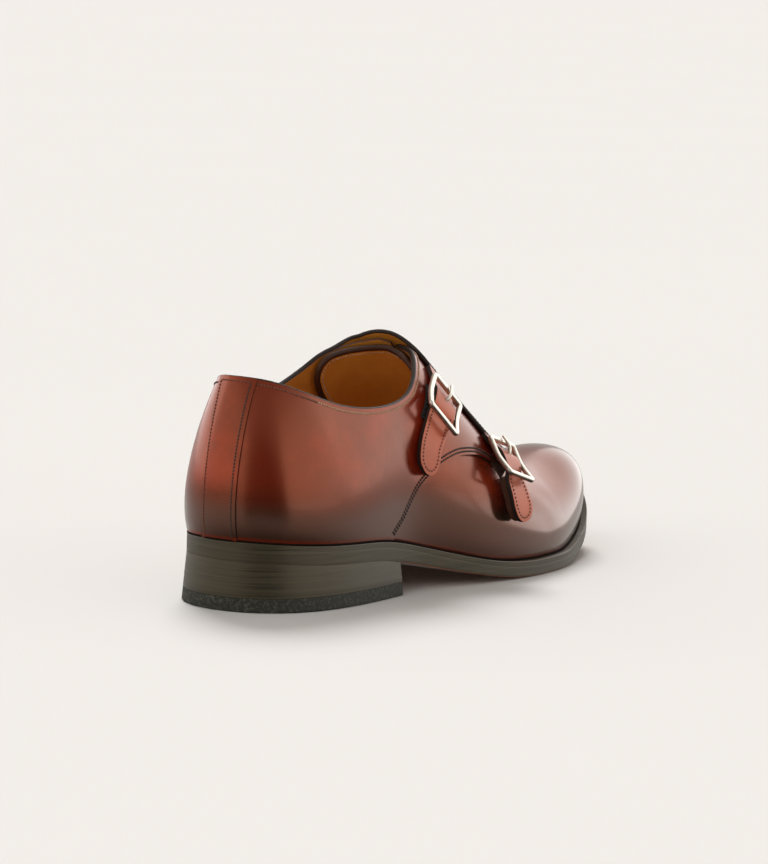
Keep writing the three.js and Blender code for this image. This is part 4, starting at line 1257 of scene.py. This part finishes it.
def stitch_row(name, points, normals, finish, slot, pitch=1.7, size=1.2, length=0.7):
    far = np.concatenate([[0], np.cumsum(np.linalg.norm(np.diff(points, axis=0), axis=1))])
    count = max(2, int(far[-1] / pitch))
    steps = (np.arange(count) + 0.5) * far[-1] / count
    at = np.stack([np.interp(steps, far, points[:, i]) for i in range(3)], -1)
    up = np.stack([np.interp(steps, far, normals[:, i]) for i in range(3)], -1)
    ahead = np.stack([np.interp(steps + 0.3, far, points[:, i]) for i in range(3)], -1) - at
    back = at - np.stack([np.interp(steps - 0.3, far, points[:, i]) for i in range(3)], -1)
    copies = []
    for p, n, t in zip(to_frame(at), up, ahead + back):
        t = Vector(t).normalized()
        n = Vector(n)
        n = (n - t * n.dot(t)).normalized()
        side = n.cross(t)
        copy = stitch.copy()
        copy.data = stitch.data.copy()
        bpy.context.collection.objects.link(copy)
        copy.data.transform(Matrix.Diagonal((length, size, size, 1.0)))
        copy.data.transform(Matrix((
            (t.x, side.x, n.x, p[0]), (t.y, side.y, n.y, p[1]), (t.z, side.z, n.z, p[2]), (0, 0, 0, 1))))
        copies.append(copy)
    only(copies[0])
    for copy in copies:
        copy.select_set(True)
    bpy.ops.object.join()
    row = bpy.context.active_object
    row.name = row.data.name = name
    row.data.materials.append(finish)
    finish_piece(row)


def row_inside(edge, inset, lift, count=300, flip=1):
    """Points a set distance inside an edge given as (s, w), lying on a lift."""
    _, normals, points = edge_frame(edge, 0.0, count)
    side = np.cross(normals, directions(points))
    lift = lift(points) if callable(lift) else lift
    return points + side * (inset * flip) + normals * np.asarray(lift, float).reshape(-1, 1), normals


HALF_SUNK = 0.08
ON_QUARTER = QUARTER_TOP + HALF_SUNK
ROW_FROM_S, TAN_FROM_S, RUST_TO_S = 0.17, 0.64, 0.66
outer_s, inner_s = outer_top[:, 0], inner_top[:, 0]
# pitch, and how much thicker and shorter than the model stitch
DOTS, SEAM_DOTS = (1.4, 1.4, 0.6), (1.6, 1.4, 0.8)
for label, part, thread in (("heel", (outer_s > ROW_FROM_S) & (outer_s < RUST_TO_S), rust_thread),
                            ("outer", outer_s > TAN_FROM_S, tan_thread)):
    row = row_inside(outer_top[part], 2.3, ON_QUARTER, flip=-1)
    stitch_row("topline_stitches_" + label, *row, thread, "quarter_leather", *DOTS)
inner_edge = joined(inner_top[(inner_s > ROW_FROM_S) & (inner_s < FLAP_FROM_S)], flap_edge[3:-2])
row = row_inside(inner_edge, 2.9, lambda p: ON_QUARTER + (FLAP_TOP - 0.2 - QUARTER_TOP) * climb(p), flip=1)
stitch_row("topline_stitches_inner", *row, dark_thread, "quarter_leather")
for inset, label in ((1.5, "near"), (3.1, "far")):
    row = row_inside(above_feather(outer_seam), inset, ON_QUARTER, flip=1)
    stitch_row("outer_seam_stitches_" + label, *row, dark_thread, "quarter_leather", *SEAM_DOTS)
    row = row_inside(above_feather(inner_seam), inset,
                     lambda p: ON_QUARTER + (FLAP_TOP - QUARTER_TOP) * climb(p), flip=-1)
    stitch_row("inner_seam_stitches_" + label, *row, dark_thread, "quarter_leather", *SEAM_DOTS)

# %% Stitches of the strip, straps and tongue
for side, label in ((1, "outer"), (-1, "inner")):
    v = np.linspace(0.02, 0.97, 120)
    u = np.full_like(v, 0.5 + side * 0.5 * (1 - 1.8 / STRIP_HALF))
    points = back_strip_points(u, v)
    out = skin_normal(side * np.interp(v * 0.7, heights, strip_edge), 1 - v * 0.7)
    finish = dark_thread if side > 0 else rust_thread
    stitch_row("strip_stitches_" + label, points + out * HALF_SUNK, out, finish, "quarter_leather",
               1.5, 1.2, 0.75)
u = np.linspace(0.12, 0.88, 60)
points = back_strip_points(u, np.full_like(u, 0.972))
out = skin_normal((2 * u - 1) * 0.14, np.full_like(u, 0.45))
stitch_row("strip_stitches_top", points + out * HALF_SUNK, out, rust_thread, "quarter_leather", 1.5, 1.2, 0.7)


def strap_rows(label, route):
    s = np.linspace(route.seat + 3.5, route.length - 1.9, 120)
    half = half_width(s, route.length, 1.9)
    s = np.concatenate([s, s[::-1]])
    w = np.concatenate([half, -half[::-1]])
    lift = strap_lift(s, route) + STRAP + HALF_SUNK
    points = route.lay(s, w, lift)
    stitch_row("strap_stitches_" + label, points, route.frame(s)[1], rust_thread, "quarter_leather",
               1.7, 1.2, 0.65)


strap_rows("upper", upper_route)
strap_rows("lower", lower_route)
_, normals, points = edge_frame(tongue_back, 0.0, 200)
side = np.cross(normals, directions(points))
lining_side = TONGUE_LIFT - TONGUE_WALL - HALF_SUNK
stitch_row("tongue_stitches", points + side * 2.4 + normals * lining_side, -normals, tan_thread,
           "lining_leather", 1.5, 1.4, 0.6)
bpy.data.objects.remove(stitch, do_unlink=True)

# %% [markdown]
# ## Camera, floor and light
# The camera stands where the photograph was taken: low, behind the outer side of the heel, a long
# way off with a long lens. The floor is so large that its far edge stays out of the picture.
# Two wide suns and a pale sky light the floor evenly and leave a soft shadow. Polished calf shows
# what stands round it, so the sky has one dark gap, as beside a studio's open door, and large soft
# boxes that only the gloss sees. The suns and the floor are left out of the gloss.

# %% Camera
AZIMUTH, ELEVATION, ROLL = (math.radians(d) for d in (33.498, 6.813, 2.015))
TARGET = np.array([-14.052, 144.0, 63.047])
DISTANCE, FOCAL_PIXELS = 1861.852, 4083.324
back = np.array([math.sin(AZIMUTH) * math.cos(ELEVATION), -math.cos(AZIMUTH) * math.cos(ELEVATION),
                 math.sin(ELEVATION)])
level = np.cross(-back, [0, 0, 1])
level /= np.linalg.norm(level)
top = np.cross(level, -back)
right = level * math.cos(ROLL) + top * math.sin(ROLL)
over = -level * math.sin(ROLL) + top * math.cos(ROLL)
data = bpy.data.cameras.new("photograph")
data.sensor_width = 36.0
data.lens = 36.0 * FOCAL_PIXELS / 864
data.clip_end = 1000.0
camera = bpy.data.objects.new("photograph", data)
bpy.context.collection.objects.link(camera)
place = to_frame(TARGET + back * DISTANCE)
turn_rows = np.stack([right, over, back], -1).tolist()
camera.matrix_world = Matrix([[*row, p] for row, p in zip(turn_rows, place)] + [[0, 0, 0, 1]])
bpy.context.scene.camera = camera
print("camera at, m:", place.round(3))

# %% Floor
floor_material, tree, shader = new_material("studio_floor", Roughness=0.9, Specular_IOR_Level=0.0)
where = add(tree, "TexCoord").outputs["Object"]
cloud = add(tree, "TexNoise", Vector=where, Scale=2.0, Detail=2.0).outputs[0]
tree.links.new(mixed(tree, cloud, (0.815, 0.795, 0.772), (0.825, 0.805, 0.782)), shader.inputs["Base Color"])
bpy.ops.object.select_all(action="DESELECT")
bpy.ops.mesh.primitive_plane_add(size=400.0, location=(0, 0, -0.0002))
floor = bpy.context.active_object
floor.name = "floor"
floor.data.materials.append(floor_material)

# %% Lights
world = bpy.data.worlds.new("studio")
world.use_nodes = True
tree = world.node_tree
way = add(tree, "TexCoord").outputs["Generated"]
upward = add(tree, "SeparateXYZ", Vector=way).outputs[2]
GAP_TOWARDS = (0.643, -0.766, 0.0)

band = maths(tree, "MULTIPLY", spread(tree, upward, -0.65, -0.18), spread(tree, upward, 0.8, 0.45))
higher = maths(tree, "MAXIMUM", upward, 0.0)
turn = add(tree, "VectorMath", {"operation": "DOT_PRODUCT"}, i0=way, i1=GAP_TOWARDS).outputs["Value"]
gap = spread(tree, maths(tree, "MULTIPLY_ADD", higher, -0.2, turn), 0.90, 0.78)
low_fill = spread(tree, upward, -0.08, -0.32, 0.0, 0.75)
sky = maths(tree, "MAXIMUM", band, spread(tree, upward, 0.3, 0.7, 0.0, 0.5))
strength = maths(tree, "MULTIPLY", maths(tree, "MAXIMUM", gap, low_fill), sky)
strength = maths(tree, "MULTIPLY_ADD", strength, 0.62, 0.02)
background = tree.nodes["Background"]
background.inputs[0].default_value = (1.0, 0.955, 0.90, 1)
tree.links.new(strength, background.inputs[1])
bpy.context.scene.world = world


def aimed(name, kind, place, aim, **settings):
    data = bpy.data.lights.new(name, kind)
    for key, value in settings.items():
        setattr(data, key, value)
    light = bpy.data.objects.new(name, data)
    bpy.context.collection.objects.link(light)
    place, aim = Vector(place), Vector(aim)
    light.location = place
    light.rotation_euler = (aim - place).to_track_quat("-Z", "Y").to_euler()
    return light


MIDDLE = (0, 0, 0.05)


def sunlight(name, place, energy, spread_angle):
    light = aimed(name, "SUN", place, (0, 0, 0), energy=energy, angle=math.radians(spread_angle))
    light.visible_glossy = False


def gloss_box(name, place, size, size_y, radiance):
    light = aimed(name, "AREA", place, MIDDLE, shape="RECTANGLE", size=size, size_y=size_y,
                  energy=radiance * size * size_y * math.pi)
    light.visible_diffuse = False


sunlight("shadow_sun", (-0.75, 0.85, 1.45), 2.2, 26)
sunlight("fill_sun", (0.1, -0.9, 0.36), 1.05, 60)
gloss_box("front_box", (0.55, 2.0, 1.05), 3.6, 2.55, 1.22)
gloss_box("side_box", (2.1, 0.25, 0.5), 2.5, 1.3, 0.95)
gloss_box("behind_box", (-1.0, -1.85, 0.6), 3.4, 1.1, 0.5)
gloss_box("left_box", (-2.2, 0.3, 0.6), 3.4, 1.1, 1.1)
gloss_box("top_box", (0.0, 0.4, 2.2), 2.4, 2.0, 1.2)
floor.visible_glossy = False
print("lights:", len(bpy.data.lights))
